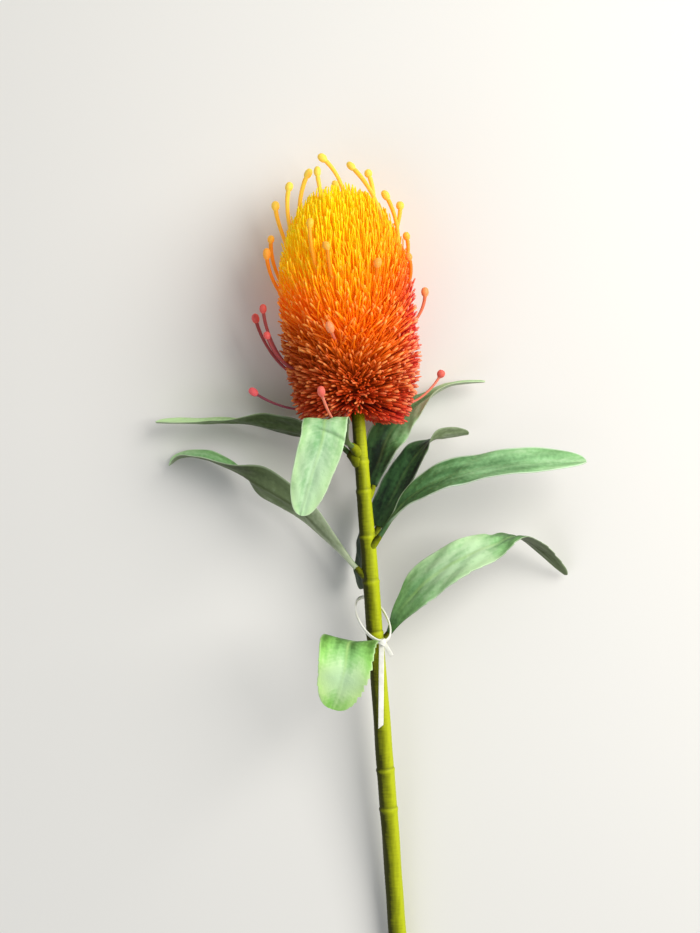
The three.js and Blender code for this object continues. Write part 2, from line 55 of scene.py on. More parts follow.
MM = 0.001
SEED = 45
GOLDEN_ANGLE = 180 * (3 - np.sqrt(5))
LINE_SAMPLES = 2000
UP = np.array([0.0, 0, 1])
RIGHT = np.array([1.0, 0, 0])

# The stem's centre line, from its cut end to the foot of the flower head
STEM_LINE = [
    [16.7, -204.4, 4.0], [11.6, -120, 7.0], [5.7, -40, 15.2], [1.9, 8, 20.3], [-1.8, 55, 24.5],
    [-4.8, 92.5, 26],
]
STEM_STEPS = 420
STEM_SIDES = 28
CUT_BEVEL = 0.5
# Its rings, as shares of its length, each with a groove over it and a swelling under it
STEM_RINGS = [0.451, 0.508, 0.705, 0.778, 0.842, 0.906, 0.947]
RING_WIDTH = 0.8
# A painted highlight along each ring
RING_PAINTED_HIGHLIGHT = 0.2
GROOVE_PLACE = 1.3
GROOVE_WIDTH = 0.4
GROOVE_DEPTH = 0.1
# Painted shade in each groove
GROOVE_PAINTED_SHADE = 0.45
SWELLING_HEIGHT = 0.1
SWELLING_START = -5
SWELLING_END = 1.2
# Waves along it (height, waves, phase) and lumps round it (height, number round it, length along it)
STEM_WRINKLES = [(0.025, 2.9, 0), (0.02, 4.7, 1)]
STEM_LUMPS = [(0.07, 3, 9), (0.06, 2, -14), (0.05, 5, 4)]
SPINE_RADIUS = 1.8
SPINE_TOP = 70
SPINE_GAP = 0.3
SHOULDER = 7.5

# The flower head's axis, and the barrel on which its needles end
HEAD_FOOT = np.array([-4.8, 92.5, 26])
HEAD_TOP = np.array([-14.4, 192.5, 26])
BARREL_FOOT = -1
BARREL_WAIST = 43
BARREL_TOP = 100.4
BARREL_RADIUS = 28.6
FOOT_ROUNDING = 3
FOOT_DEPTH = 49.3
DOME_ROUNDING = 2.2
OUTLINE_STEPS = 600
# The flat fan of needles under the barrel
FOOT_RADIUS = 18.9
FAN_INNER_RADIUS = 7
FAN_RISE = 6
# How needles lean, in degrees, and how much lower their tips hang
LEAN_AT_FOOT = -26
LEAN_AT_TOP = 90
LEAN_RISE = 0.55
FRONT_LEAN = 27
SIDE_SWEEP = 9
DROOP = 2.4
FOOT_LIFT = 1.9
FRONT_LIFT = 1.8
DROOP_HEIGHT = 40
LEFT_FLARE = 4.2
FLARE_HEIGHT = 14
FLARE_LENGTHENING = 0.4
# The cores: their depth under the tips is a share of a needle's length
CORE_LIFT = 6
CORE_LIFT_HEIGHT = 30
CORE_DEPTH = 0.66
CORE_SIDES = 32
CORE_STEPS = 16
CORE_LEAST_RADIUS = 0.2
CORE_STEEPEST = 60
CORE_CLEARANCE = 0.4

# Each band of the head: the shares of the outline, from foot to top, between which its needles end
BANDS = [
    ("flower_head_red", "needle_red", 0, 1 / 3),
    ("flower_head_orange", "needle_orange", 1 / 3, 2 / 3),
    ("flower_head_yellow", "needle_yellow", 2 / 3, 1),
]

# A needle's rings: share of its length from root to tip, and thickness as a share of the widest
NEEDLE_PLACES = np.array([0, 0.4, 0.7, 0.84, 0.93, 0.98, 1.0])
NEEDLE_SWELL = np.array([0.66, 0.7, 0.74, 0.84, 1.0, 0.84, 0.4])
NEEDLE_SIDES = 4
NEEDLE_KNEE = 0.45
TIP_LEAST_RADIUS = 0.3
ROOT_GAP = 1.5
# Area that each tip takes, as a share of the spacing squared
HONEYCOMB = 0.866
# How uneven needles are in height, distance, azimuth, length (as a share), bend and sway
NEEDLE_WOBBLE = np.array([0.35, 0.7, 1.2, 0.06, 9, 12])
# The short ones: how many there are, by how much they are shorter, and their thickness as a share
SHORT_SHARE = 0.72
SHORT_BY = (0.8, 4.0)
SHORT_THICKNESS = 0.9
# How strong the painted highlights on the tips are: short ones, long ones by chance, and the part that is
# lost towards the top
SHORT_TIP_HIGHLIGHT = 0.06
LONG_TIP_HIGHLIGHT = 0.35
LONG_TIP_HIGHLIGHT_RANGE = 0.55
UPPER_TIP_HIGHLIGHT_LOSS = 0.5
UPPER_THINNING = 0.28
# How dark the painted shade on the head's lower left is, then how many bristles the parting takes out
LEFT_SHADE = 0.4
PARTING = 0.75
CRIMSON_AZIMUTH = 96
CRIMSON_WIDTH = 38

# Long styles: azimuth round the head (0 faces up, 90 is to the right), the height at which each leaves
# the barrel, and its knob's height and distance from the axis
STYLES = np.array([
    [-90, 5, 17.5, 42.3], [90, 2, 17.5, 36.2], [-22, -9, 13.6, 37], [-86, 20, 51.3, 35],
    [-98, 19, 48.3, 39.1], [-74, 22, 39.7, 35.4], [-14, 34, 39.1, 31.5], [88, 38, 52, 32.8],
    [-94, 60, 80.3, 29.1], [-86, 55, 73.9, 31.3], [-27, 66, 82.3, 26.5], [-12, 60, 72.1, 28],
    [28, 58, 63.6, 28.5], [78, 54, 66.8, 27.8], [92, 64, 76, 27.4], [-98, 79, 94.2, 26.1],
    [-84, 84, 100.8, 19.4], [-104, 90, 106.3, 11.3], [-70, 99.3, 106, 7.4], [70, 86, 106.9, 7.5],
    [106, 92, 104.1, 14.6], [84, 72, 93.5, 20.4], [94, 79, 89.2, 26.1], [90, 100.1, 111.8, -4.4],
    [122, 22, 44, 31], [-126, 27, 47, 33], [126, 58, 76, 27], [-134, 72, 88, 26],
    [146, 82, 97, 18], [178, 88, 102, 12],
])
STYLE_SAMPLES = 200
STYLE_BEND = 0.6
STYLE_BULGE = 0.1
STYLE_STEPS = 26
STYLE_SIDES = 10
KNOB_STEPS = 9
KNOB_ARC = (152, 10)
KNOB_ROUNDING = 0.85
# Each knob's width, length and shift to a side, as shares of the knob size, lie between these
KNOB_SHAPES = [(0.86, 1.04), (0.95, 1.4), (-0.55, 0.55)]


class Leaf:
    """The shape and looks of one leaf. Where it gives none of its own, it has these: the depth of its teeth,
    the size of its peg, how crumpled it is, how lime its edges are, how much painted light makes its right
    half paler, and a crease that is off the leaf, which is none."""

    teeth = (0.1, 0.1)
    peg = 1
    crumple = 1
    edge_warm = 0.2
    painted_lit_half = 0
    crease = (-1, 0, 0)

    def __init__(self, **values):
        self.__dict__.update(values)


# Leaves: midrib from its peg to its tip, the way the upper face looks along it, half width, the shares of its
# length between which it swells, bluntness of its tip, and degrees that its halves fold up. Then at five
# places from peg to tip: how pale its upper and lower faces are, partly its own tone and partly painted light
# and shade where it lies lit or in shadow, how lime they are, and how much the midrib shows. Then how pale
# its rim is, the depth of the teeth on its two edges, and a crease: its place, how it slants, and where it
# starts across the leaf
LEAVES = {
    "leaf_1": Leaf(
        midrib=[[-8.4, 80.2, 25], [-15.5, 85.6, 22], [-27.5, 89, 18], [-42, 91.8, 16.5],
                [-57, 93.4, 15], [-74, 93.4, 12], [-91, 94, 9]],
        face=[[0.6, 0.5, 0.6], [0.3, 0.85, -0.3], [0.1, 0.9, -0.42], [0, 0.92, -0.4],
              [0, 1, 0], [0, 0.97, 0.22], [0, 0.95, 0.3]],
        half_width=9.5, swell=(0.04, 0.45), tip=2.6, fold=12, peg=1.6,
        pale=[0.3, 0.4, 0.6, 0.9, 1.0], under=[0.1, 0.12, 0.15, 0.5, 0.8], warm=[0.4] * 5,
        rib=[1, 1, 0.8, 0.3, 0], rim=0.5, teeth=(0, 0.1),
    ),
    "leaf_2": Leaf(
        midrib=[[-7.6, 83.2, 30.5], [-12.4, 86.8, 40], [-16.8, 91.4, 50.5], [-18.2, 93.6, 58.6],
                [-19.4, 85, 62.5], [-24, 70, 59], [-28, 55, 54]],
        face=[[0, 0.95, -0.3], [0, 0.92, -0.35], [-0.08, 0.9, 0.1], [-0.12, 0.72, 0.7],
              [-0.04, 0.12, 1], [0, -0.1, 1], [0, -0.2, 1]],
        half_width=9.7, swell=(0.02, 0.4), tip=8, fold=0.5, peg=1.35,
        pale=[0.45, 0.45, 0.66, 0.94, 1.0], under=[0.3] * 5, warm=[0.4, 0.4, 0.05, 0, 0.1],
        rib=[0, 0.3, 1, 0.4, 0.15], rim=1.0, teeth=(0.15, 0.1), crease=(0.6, -0.045, -0.5), edge_warm=0.5,
    ),
    "leaf_3": Leaf(
        midrib=[[-5.9, 32.6, 22], [-15.4, 42.8, 20], [-29.8, 56.8, 18], [-45.6, 66.8, 17],
                [-57.5, 73.2, 15], [-69.8, 78.4, 12], [-79.2, 79.2, 7.4], [-86, 76, 2.2]],
        face=[[0.6, 0.5, -0.6], [0.5, 0.55, -0.65], [0.45, 0.6, -0.65], [0.35, 0.6, -0.62],
              [0.3, 0.95, 0], [0.1, 0.97, 0.2], [-0.1, 0.95, 0.28], [-0.6, 0.6, 0.5]],
        half_width=10.3, swell=(0, 0.45), tip=2.4, fold=14,
        pale=[0.4, 0.4, 0.5, 0.7, 1.1], under=[0.95, 0.75, 0.18, 0.25, 0.8], warm=[0.4, 0.3, 0.2, 0.1, 0.3],
        rib=[0.5, 1, 1, 0.6, 0.1], rim=0.95, teeth=(0.1, 0.15),
    ),
    # Leaf 4 is dark near its peg as painted shade, and its right half is paler as painted light
    "leaf_4": Leaf(
        midrib=[[1.4, 66.8, 20.8], [4, 76, 15.4], [7.6, 87, 9.4], [15.2, 97, 7.2],
                [24.8, 104.2, 7], [34.6, 109.4, 9], [49.1, 111.2, 10]],
        face=[[-0.5, 0.5, 0.7], [-0.55, 0.2, 0.8], [-0.4, 0.15, 0.85], [-0.45, 0.4, 0.75],
              [-0.5, 0.8, 0.3], [-0.25, 0.95, 0.08], [0, 0.97, 0.2]],
        half_width=9.6, swell=(-0.1, 0.36), tip=2.4, fold=8, painted_lit_half=0.5,
        pale=[0.08, 0.08, 0.3, 0.8, 0.95], under=[0.2, 0.4, 0.8, 0.9, 0.9], warm=[0, 0, 0, 0.1, 0.3],
        rib=[0.2] * 5, rim=0.6,
    ),
    # Leaf 5 is dark all along as painted shade, where it lies in shadow
    "leaf_5": Leaf(
        midrib=[[3.8, 49.6, 20.4], [8, 58.6, 18], [13, 69, 16.5], [19, 79, 15.5],
                [24.8, 85, 14.5], [32, 88.3, 13.5], [42, 89.2, 12]],
        face=[[-0.6, 0.3, 0.7], [-0.7, 0.2, 0.65], [-0.7, 0.25, 0.65], [-0.6, 0.5, 0.6],
              [-0.3, 0.9, 0.1], [-0.1, 0.9, -0.5], [0, 0.85, -0.55]],
        half_width=9.2, swell=(-0.2, 0.22), tip=2, fold=10,
        pale=[0.1, 0.1, 0.14, 0.2, 0.2], under=[0.2, 0.2, 0.3, 0.6, 0.6], warm=[0, 0, 0, 0.1, 0.2],
        rib=[0.2, 0.15, 0.15, 0.15, 0], rim=0.35,
    ),
    "leaf_6": Leaf(
        midrib=[[4.2, 46, 26.4], [9.6, 54, 28], [16.5, 62, 30], [28.8, 69.4, 32],
                [45.2, 73.8, 33], [65.9, 76.7, 32], [90, 77.4, 27]],
        face=[[-0.3, 0.5, 0.8], [-0.5, 0.6, 0.6], [-0.5, 0.7, 0.55], [-0.3, 0.75, 0.6],
              [-0.1, 0.78, 0.62], [0, 0.78, 0.62], [0, 0.85, 0.5]],
        half_width=9.3, swell=(0.12, 0.5), tip=14, fold=9,
        pale=[0.1, 0.16, 0.38, 0.6, 0.76], under=[0.3] * 5, warm=[0.2, 0.1, 0, 0, 0.1],
        rib=[0.4, 0.2, 0.1, 0.05, 0], rim=1.0, teeth=(0.05, 0.1), edge_warm=0.1,
    ),
    "leaf_7": Leaf(
        midrib=[[8.4, 5.4, 17.4], [13.6, 15, 20.8], [23, 26.6, 26.4], [37, 36, 30],
                [52, 42.6, 27], [61.5, 45.6, 21], [73, 39.6, 11.5], [84.6, 28.6, 2.8]],
        face=[[-0.5, 0.5, 0.7], [-0.55, 0.47, 0.68], [-0.6, 0.45, 0.65], [-0.5, 0.5, 0.7],
              [-0.42, 0.52, 0.74], [-0.35, 0.56, 0.75], [-0.28, 0.6, 0.75], [-0.2, 0.66, 0.72],
              [-0.05, 0.8, 0.5], [0.15, 0.95, 0.05], [0.35, 0.9, -0.2], [0.5, 0.78, -0.35],
              [0.6, 0.6, -0.5], [0.6, 0.57, -0.53], [0.6, 0.55, -0.55]],
        half_width=10.8, swell=(-0.05, 0.32), tip=2, fold=3,
        pale=[0.25, 0.84, 0.95, 0.1, 0.1], under=[0.2, 0.2, 0.1, 0.15, 0.4], warm=[0.1, 0.1, 0.1, 0.3, 0.5],
        rib=[0.3, 0.8, 0.5, 0.3, 0.3], rim=0.6, teeth=(0.1, 0.9), crumple=1.6,
    ),
    "leaf_8": Leaf(
        midrib=[[0.4, 1, 24.8], [-3, 2.4, 38], [-6.6, 4, 50], [-9, 3.8, 59.6],
                [-10.3, -5, 63.4], [-12.6, -14.4, 60.4], [-15.4, -22.6, 56]],
        face=[[0, 0.95, -0.1], [0, 0.98, -0.1], [0, 0.95, 0.2], [0, 0.72, 0.7],
              [0, 0.12, 1], [0, -0.1, 1], [0, -0.15, 1]],
        half_width=12, swell=(0.04, 0.42), tip=5.5, fold=7,
        pale=[0.45, 0.45, 0.46, 1.08, 0.75], under=[0.3] * 5, warm=[0.7, 0.7, 0.6, 0.15, 1],
        rib=[0, 0.4, 1, 0.3, 0.0], rim=0.9, teeth=(1.3, 0.35), edge_warm=0.8, crumple=0.25,
    ),
    # Leaf 9 lies under the stem, and its dark colour is painted shade
    "leaf_9": Leaf(
        midrib=[[-0.6, 24.6, 16.7], [-3.2, 27.8, 12.4], [-3.8, 34, 10.4], [-3.2, 43, 10],
                [-1.8, 54, 10], [-0.8, 66, 10]],
        face=[[-0.9, 0.2, 0.3], [-0.96, 0, 0.22], [-0.97, 0, 0.2], [-0.98, 0, 0.15],
              [-1, 0, 0.1], [-1, 0, 0.1]],
        half_width=8, swell=(-0.03, 0.3), tip=3, fold=8,
        pale=[-0.6, -0.6, -0.4, 0, 0], under=[-0.5, -0.5, 0, 0, 0], warm=[0.5, 0.5, 0.3, 0.2, 0.2],
        rib=[0] * 5, rim=0.1,
    ),
}
PEG_PLACES = [0, 0.4, 0.7, 1]
PEG_RADII = [1.7, 1.9, 1.5, 1.15]
PEG_STEPS = 18
PEG_SIDES = 16
PEG_SEARCH_STEPS = 600
PEG_DROP = 5.5
PEG_KNEE = 0.6
PEG_OVERLAP = 0.2
PETIOLE_RADIUS = 1.2
PETIOLE_SHARE = 0.3
PETIOLE_REACH = 0.004
TIP_HALF_WIDTH = 0.3
TIP_ROUNDING = 0.5
FOLD_POWER = 1.4
EDGE_THICKNESS = 0.35
RIM_WIDTH = 0.9
RIM_SOFTNESS = 0.7
LEAF_STEPS = 180
LEAF_COLUMNS = 36
LEAF_STEP_POWER = 1.25
EDGE_WAVES = 3.5
EDGE_WAVE_HEIGHT = 0.35
EDGE_WAVES_START = (0.15, 0.5)
EDGE_SCALLOPS = 6.5
EDGE_SCALLOP_SHARE = 0.012
TEETH = 22
TOOTH_DEPTHS = (0.1, 1.2)
SIDE_VEINS = 30
VEIN_SLOPE = 2.3
VEIN_WIDTH = 0.16
SIDE_VEIN_HEIGHT = 0.12
TROUGH_DEPTH = 1.6
TROUGH_WIDTH = 1.7
CREASE_WIDTH = 0.009
CREASE_DEPTH = 0.7
# Ripples of a blade: height, waves along it and across it, and the power of |t| that they fade with
RIPPLES = [(0.2, 31, 4, 1), (0.16, 17, -7, 0), (0.1, 53, 9, 0)]

# The tie: a flat strip that loops round the stem, with a knot of two wraps, a long tail and a short end
TIE_FRONT = np.array([5.2, 1.9, 25.9])
TIE_BACK = np.array([-2.6, 19.6, 14.6])
TIE_HALF_WIDTH = 6.2
TIE_OPENING = 0.06
STRIP_SIDES = 16
LOOP_RINGS = 97
TAIL_RINGS = 41
TAIL_LINE = [[4.9, 2.4, 25.2], [4.8, -8, 23.6], [4.7, -22, 21.9], [4.6, -35.3, 20.5]]
TAIL_SLANT = 1.8
SHORT_END_LINE = [[5.6, 1.6, 25.3], [7.4, -1.4, 24.6], [9, -4.2, 23.6]]
SHORT_END_SHARE = 0.8
SHORT_END_RINGS = 25
# Each wrap of the knot: how it leans, and how far it is from the front of the loop
KNOT_WRAPS = [(0.35, 0.0), (-0.45, 0.5)]
KNOT_RADII = (1.05, 1.25)
KNOT_STRIP = (1.9, 0.55)
WRAP_RINGS = 40


# Curves and frames


def unit(vectors):
    """Vectors divided by their own length."""
    return vectors / np.linalg.norm(vectors, axis=-1, keepdims=True)


def rise(low, high, x):
    """0 below low, 1 above high, and 3t² - 2t³ between them."""
    t = np.clip((x - low) / (high - low), 0, 1)
    return t * t * (3 - 2 * t)


def fall(low, high, x):
    """1 less the rise."""
    return 1 - rise(low, high, x)


def bell(x, width):
    """e to the minus (x / width) squared."""
    return np.exp(-((x / width) ** 2))


def across_from(along, wanted):
    """Two directions across each line: wanted less its part along the line, and the line times that."""
    wanted = np.broadcast_to(wanted, along.shape)
    first = unit(wanted - np.sum(wanted * along, -1, keepdims=True) * along)
    return first, np.cross(along, first)


def spline(guides, shares):
    """Points on a smooth curve through evenly spaced guide points.

    Between two guide points the curve is the cubic whose slope at each is half the step between that
    point's neighbours. Past each end the last step is repeated.
    """
    guides = np.asarray(guides, float)
    padded = np.vstack([2 * guides[0] - guides[1], guides, 2 * guides[-1] - guides[-2]])
    place = np.asarray(shares, float) * (len(guides) - 1)
    left = np.clip(place.astype(int), 0, len(guides) - 2)
    t = (place - left)[:, None]
    p0, p1, p2, p3 = (padded[left + k] for k in range(4))
    ends = (2 * t**3 - 3 * t**2 + 1) * p1 + (3 * t**2 - 2 * t**3) * p2
    return ends + (t**3 - 2 * t**2 + t) * (p2 - p0) / 2 + (t**3 - t**2) * (p3 - p1) / 2


def bezier(guides, t):
    """The sum of (n over k) (1-t)^(n-k) t^k times guide k, for k from 0 to n."""
    last = len(guides) - 1
    return sum(comb(last, k) * (1 - t) ** (last - k) * t**k * guide for k, guide in enumerate(guides))


def lengths_along(line):
    """The length of a line up to each of its points."""
    return np.concatenate([[0], np.cumsum(np.linalg.norm(np.diff(line, axis=0), axis=1))])


def points_at(places, lengths, line):
    """Points of a line at these lengths along it."""
    return np.stack([np.interp(places, lengths, line[:, axis]) for axis in range(3)], -1)


def even_points(guides, shares):
    """Points at these shares of the length of the smooth curve through the guide points."""
    line = spline(guides, np.linspace(0, 1, LINE_SAMPLES))
    lengths = lengths_along(line)
    return points_at(np.asarray(shares) * lengths[-1], lengths, line)


def directions(points):
    """The direction at each point of a line, from its neighbours on both sides."""
    return unit(np.gradient(points, axis=-2))


def full_turn(sides):
    """Angles of this many places round a circle, in radians."""
    return np.arange(sides) / sides * 2 * np.pi


def rings(centres, radii, sides, wanted=UP):
    """Closed rings round the points of lines: centre + r (first cos a + second sin a).

    centres has a shape of (..., steps, 3), and radii fits (..., steps).
    """
    first, second = across_from(directions(centres), wanted)
    turn = full_turn(sides)[:, None]
    around = first[..., None, :] * np.cos(turn) + second[..., None, :] * np.sin(turn)
    radii = np.broadcast_to(radii, centres.shape[:-1])
    return centres[..., None, :] + radii[..., None, None] * around


class Shape:
    """The points, faces and per-point numbers of one piece, gathered part by part."""

    def __init__(self):
        self.points, self.faces, self.numbers = [], [], []
        self.size = 0

    def add(self, grid, loop=False, **numbers):
        """Adds the skin over closed rings: quads between neighbours, and a cap on each end ring.

        grid has a shape of (steps, sides, 3), or (parts, steps, sides, 3) for many parts at once. With loop
        the last ring joins the first, and there are no caps.
        """
        if grid.ndim == 3:
            grid = grid[None]
            numbers = {name: np.asarray(value)[None] for name, value in numbers.items()}
        shape = grid.shape[:3]
        index = np.arange(grid[..., 0].size).reshape(shape) + self.size
        low, high = (index, np.roll(index, -1, 1)) if loop else (index[:, :-1], index[:, 1:])
        quads = np.stack([low, np.roll(low, -1, 2), np.roll(high, -1, 2), high], -1)
        self.faces.append(quads.reshape(-1, 4))
        if not loop:
            self.faces += [index[:, 0, ::-1], index[:, -1]]
        self.points.append(grid.reshape(-1, 3))
        self.numbers.append({name: np.broadcast_to(value, shape).ravel() for name, value in numbers.items()})
        self.size += index.size

    def make(self, name, material, node):
        """Makes the piece, in metres, with its finish, fixes it to the root and hides the part of model.glb
        that it stands for.
        """
        corners = np.concatenate([face.ravel() for face in self.faces])
        sizes = np.concatenate([np.full(len(face), face.shape[1]) for face in self.faces])
        mesh = bpy.data.meshes.new(name)
        mesh.vertices.add(self.size)
        mesh.vertices.foreach_set("co", (np.concatenate(self.points) * MM).ravel())
        mesh.loops.add(len(corners))
        mesh.loops.foreach_set("vertex_index", corners)
        mesh.polygons.add(len(sizes))
        mesh.polygons.foreach_set("loop_start", np.cumsum(sizes) - sizes)
        for key in self.numbers[0]:
            values = np.concatenate([numbers[key] for numbers in self.numbers])
            mesh.attributes.new(key, "FLOAT", "POINT").data.foreach_set("value", values.astype(np.float32))
        mesh.update(calc_edges=True)
        mesh.shade_smooth()
        mesh.materials.append(material)
        piece = bpy.data.objects.new(name, mesh)
        bpy.context.scene.collection.objects.link(piece)
        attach(piece, "root")
        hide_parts(node)


# Materials


def colour_from(code):
    """A colour's linear red, green and blue from its six-digit screen code."""
    screen = np.array([int(code[k : k + 2], 16) for k in (0, 2, 4)]) / 255
    linear = np.where(screen <= 0.04045, screen / 12.92, ((screen + 0.055) / 1.055) ** 2.4)
    return tuple(float(x) for x in linear)


class Finish:
    """A material under construction: nodes are added to it and joined by their sockets' names. A colour is a
    socket, a six-digit screen code or a setting."""

    def __init__(self, name, **sockets):
        self.material = bpy.data.materials.new(name)
        self.material.use_nodes = True
        self.tree = self.material.node_tree
        self.shader = self.tree.nodes["Principled BSDF"]
        self.set(**sockets)

    def set(self, **sockets):
        """Joins the shader's own sockets, named with _ in place of each space."""
        self.join(self.shader, {key.replace("_", " "): value for key, value in sockets.items()})

    def opaque(self, colour):
        """Red, green, blue and 1 for a colour."""
        return (*(colour_from(colour) if isinstance(colour, str) else colour), 1)

    def join(self, node, inputs):
        """Links each input that is given a socket, and sets each that is given a value."""
        for key, value in inputs.items():
            socket = node.inputs[key]
            if isinstance(value, bpy.types.NodeSocket):
                self.tree.links.new(value, socket)
            else:
                socket.default_value = self.opaque(value) if socket.type == "RGBA" else value

    def add(self, kind, inputs=None, **settings):
        """Adds a node of this kind, with its inputs and settings."""
        node = self.tree.nodes.new("ShaderNode" + kind)
        for key, value in settings.items():
            setattr(node, key, value)
        self.join(node, inputs or {})
        return node

    def number(self, name):
        """The piece's own number of that name, kept at each of its points."""
        return self.add("Attribute", attribute_name=name).outputs["Fac"]

    def math(self, operation, *values):
        """One sum, with clamping off."""
        return self.add("Math", dict(enumerate(values)), operation=operation).outputs[0]

    def between(self, value, low, high):
        """0 where the value is below low, 1 above high, and even steps in between."""
        return self.add("MapRange", {"Value": value, 1: low, 2: high}).outputs[0]

    def noise(self, scale, detail=2, stretch=None, place=None):
        """Soft noise from about 0.3 to 0.7, with this many waves a metre, on the piece or at a place of its
        own. Where the stretch is small, the noise is drawn out that way."""
        place = place or self.add("TexCoord").outputs["Object"]
        if stretch:
            place = self.add("Mapping", {"Vector": place, "Scale": stretch}).outputs[0]
        return self.add("TexNoise", {"Vector": place, "Scale": scale, "Detail": detail}).outputs["Fac"]

    def mix(self, factor, first, second):
        """A colour between two others, by a factor from 0 to 1."""
        inputs = {"Factor": factor, 6: first, 7: second}
        return self.add("Mix", inputs, data_type="RGBA", clamp_factor=True).outputs[2]

    def ramp(self, factor, *stops):
        """A colour from a row of (place, colour) stops."""
        node = self.add("ValToRGB", {"Fac": factor})
        elements = node.color_ramp.elements
        while len(elements) < len(stops):
            elements.new(1)
        for element, (place, colour) in zip(elements, stops):
            element.position = place
            element.color = self.opaque(colour)
        return node.outputs["Color"]

    def bump(self, height, distance, strength):
        """Gives the surface a relief of this height."""
        inputs = {"Height": height, "Distance": distance * MM, "Strength": strength}
        self.set(Normal=self.add("Bump", inputs).outputs["Normal"])


def needle_finish(name, head):
    """Moulded bristles: dark at the root, partly a deeper colour and partly painted shade, coloured by height
    on the head, with painted highlights at the long ones' tips, painted shade on the lower left, a faint
    painted glow, and crimson on the head's right side. Styles have stalks and knobs in colours of their own."""
    # The emission is a painted glow: the bristles shine a little in their own colour
    finish = Finish(
        name, Specular_IOR_Level=0.18, Subsurface_Weight=0.3, Emission_Strength=0.14,
        Subsurface_Radius=(1.0, 0.4, 0.1), Subsurface_Scale=0.0012,
    )
    names = ("height", "tip", "chance", "pale", "pink", "shade", "style")
    height, tip, chance, pale, pink, shade, style = (finish.number(key) for key in names)
    varied = finish.math("ADD", height, finish.math("MULTIPLY_ADD", chance, 0.12, -0.06))
    # The root colour is partly a deeper colour and partly painted shade deep among the bristles; low on the
    # head it reaches further up them
    low_down = finish.math("MULTIPLY", finish.between(height, 0.45, 0.2), 0.2)
    near_root = finish.between(finish.math("SUBTRACT", tip, low_down), 0.4, 0.8)
    # Painted highlights on the tips
    tip_highlight = finish.math("MULTIPLY", finish.between(tip, 0.87, 0.94), pale)
    depth = finish.ramp(
        varied, (0, "5a0c06"), (0.25, "a03c04"), (0.45, "f06800"), (0.7, "ffa000"), (0.95, "ffc000")
    )
    shaft = finish.ramp(
        varied, (0, head.foot_colour), (0.25, head.low_colour), (0.47, head.middle_colour),
        (0.64, head.high_colour), (0.86, head.top_colour),
    )
    # Colours of the painted highlights on the tips
    end = finish.ramp(
        varied, (0, head.low_tip_highlight_colour), (0.45, head.middle_tip_highlight_colour), (0.8, head.top_tip_highlight_colour)
    )
    body = finish.mix(tip_highlight, finish.mix(near_root, depth, shaft), end)
    crimson = finish.mix(near_root, "7c0a1e", head.side_colour)
    crimson = finish.mix(tip_highlight, crimson, head.side_tip_highlight_colour)
    # Painted shade on the lower left, towards dark brown
    body = finish.mix(shade, finish.mix(pink, body, crimson), "3c0c04")
    stalk = finish.ramp(
        height, (0.15, "7c3c48"), (0.42, "a04640"), (0.6, "f07810"), (0.8, "fcb42c"), (0.95, "ffcc48")
    )
    knob = finish.ramp(
        height, (0.2, "e06064"), (0.42, "d45c50"), (0.58, "fc9844"), (0.75, "ffc040"), (0.92, "ffd658")
    )
    salmon_stalk = finish.ramp(height, (0.15, "de8068"), (0.45, "d87450"))
    salmon_knob = finish.ramp(height, (0.15, "e06a5c"), (0.45, "f09a60"))
    on_knob = finish.between(tip, 0.86, 0.9)
    is_salmon = finish.math("MULTIPLY", pink, finish.between(height, 0.6, 0.5))
    salmon = finish.mix(on_knob, salmon_stalk, salmon_knob)
    long_one = finish.mix(is_salmon, finish.mix(on_knob, stalk, knob), salmon)
    colour = finish.mix(style, body, long_one)
    roughness = finish.math("SUBTRACT", 0.85, finish.math("MULTIPLY", near_root, 0.45))
    # The emission colour is the painted glow
    finish.set(Base_Color=colour, Emission_Color=colour, Roughness=roughness)
    finish.bump(finish.noise(900), 0.08, 0.5)
    return finish.material


def leaf_finish(leaf):
    """Coated fabric: mottled and streaked green, from cool to lime, with a midrib, veins, a pale rim and
    painted shade in its crease. How pale it is is partly painted light and shade. The lower face is grey
    olive with a dark midrib."""
    finish = Finish("leaf_fabric", Roughness=0.5, Specular_IOR_Level=0.35)
    names = ("pale", "rib", "vein", "rim", "upper", "warm", "groove")
    pale, rib, vein, rim, upper, warm, groove = (finish.number(key) for key in names)
    on_leaf = finish.add("CombineXYZ", {"X": finish.number("along"), "Y": finish.number("beside")})
    streaks = finish.noise(260, 3, (0.12, 1, 1), on_leaf.outputs[0])
    tone = pale
    for noise, strength in ((finish.noise(70), 0.4), (streaks, 0.7), (finish.noise(600), 0.3)):
        tone = finish.math("ADD", tone, finish.math("MULTIPLY_ADD", noise, strength, -strength / 2))
    tone = finish.math("ADD", tone, finish.math("MULTIPLY", vein, leaf.vein_contrast))
    cool = finish.ramp(
        tone, (0, leaf.dark_colour), (0.4, leaf.middle_colour), (0.7, leaf.light_colour),
        (1, leaf.pale_colour),
    )
    lime = finish.ramp(tone, (0, "284214"), (0.4, "62943e"), (0.7, "98da68"), (1, "ccf29c"))
    above = finish.mix(finish.math("MULTIPLY", rib, 0.75), finish.mix(warm, cool, lime), "b8e088")
    below = finish.ramp(tone, (0, leaf.under_dark_colour), (0.5, leaf.under_colour), (1, "b4c0a0"))
    below = finish.mix(finish.math("MULTIPLY", rib, 0.7), below, "3c4a14")
    edge = finish.mix(upper, "9fb08c", finish.mix(warm, "dcf0da", leaf.rim_colour))
    on_rim = finish.math("MULTIPLY", rim, leaf.rim_strength)
    face = finish.mix(on_rim, finish.mix(upper, below, above), edge)
    # Painted shade in the crease
    finish.set(Base_Color=finish.mix(groove, face, "56784c"))
    grain = finish.math("ADD", finish.noise(2600, 1), finish.math("MULTIPLY", finish.noise(700), 1.5))
    finish.bump(finish.math("ADD", grain, streaks), 0.12, 0.5)
    return finish.material


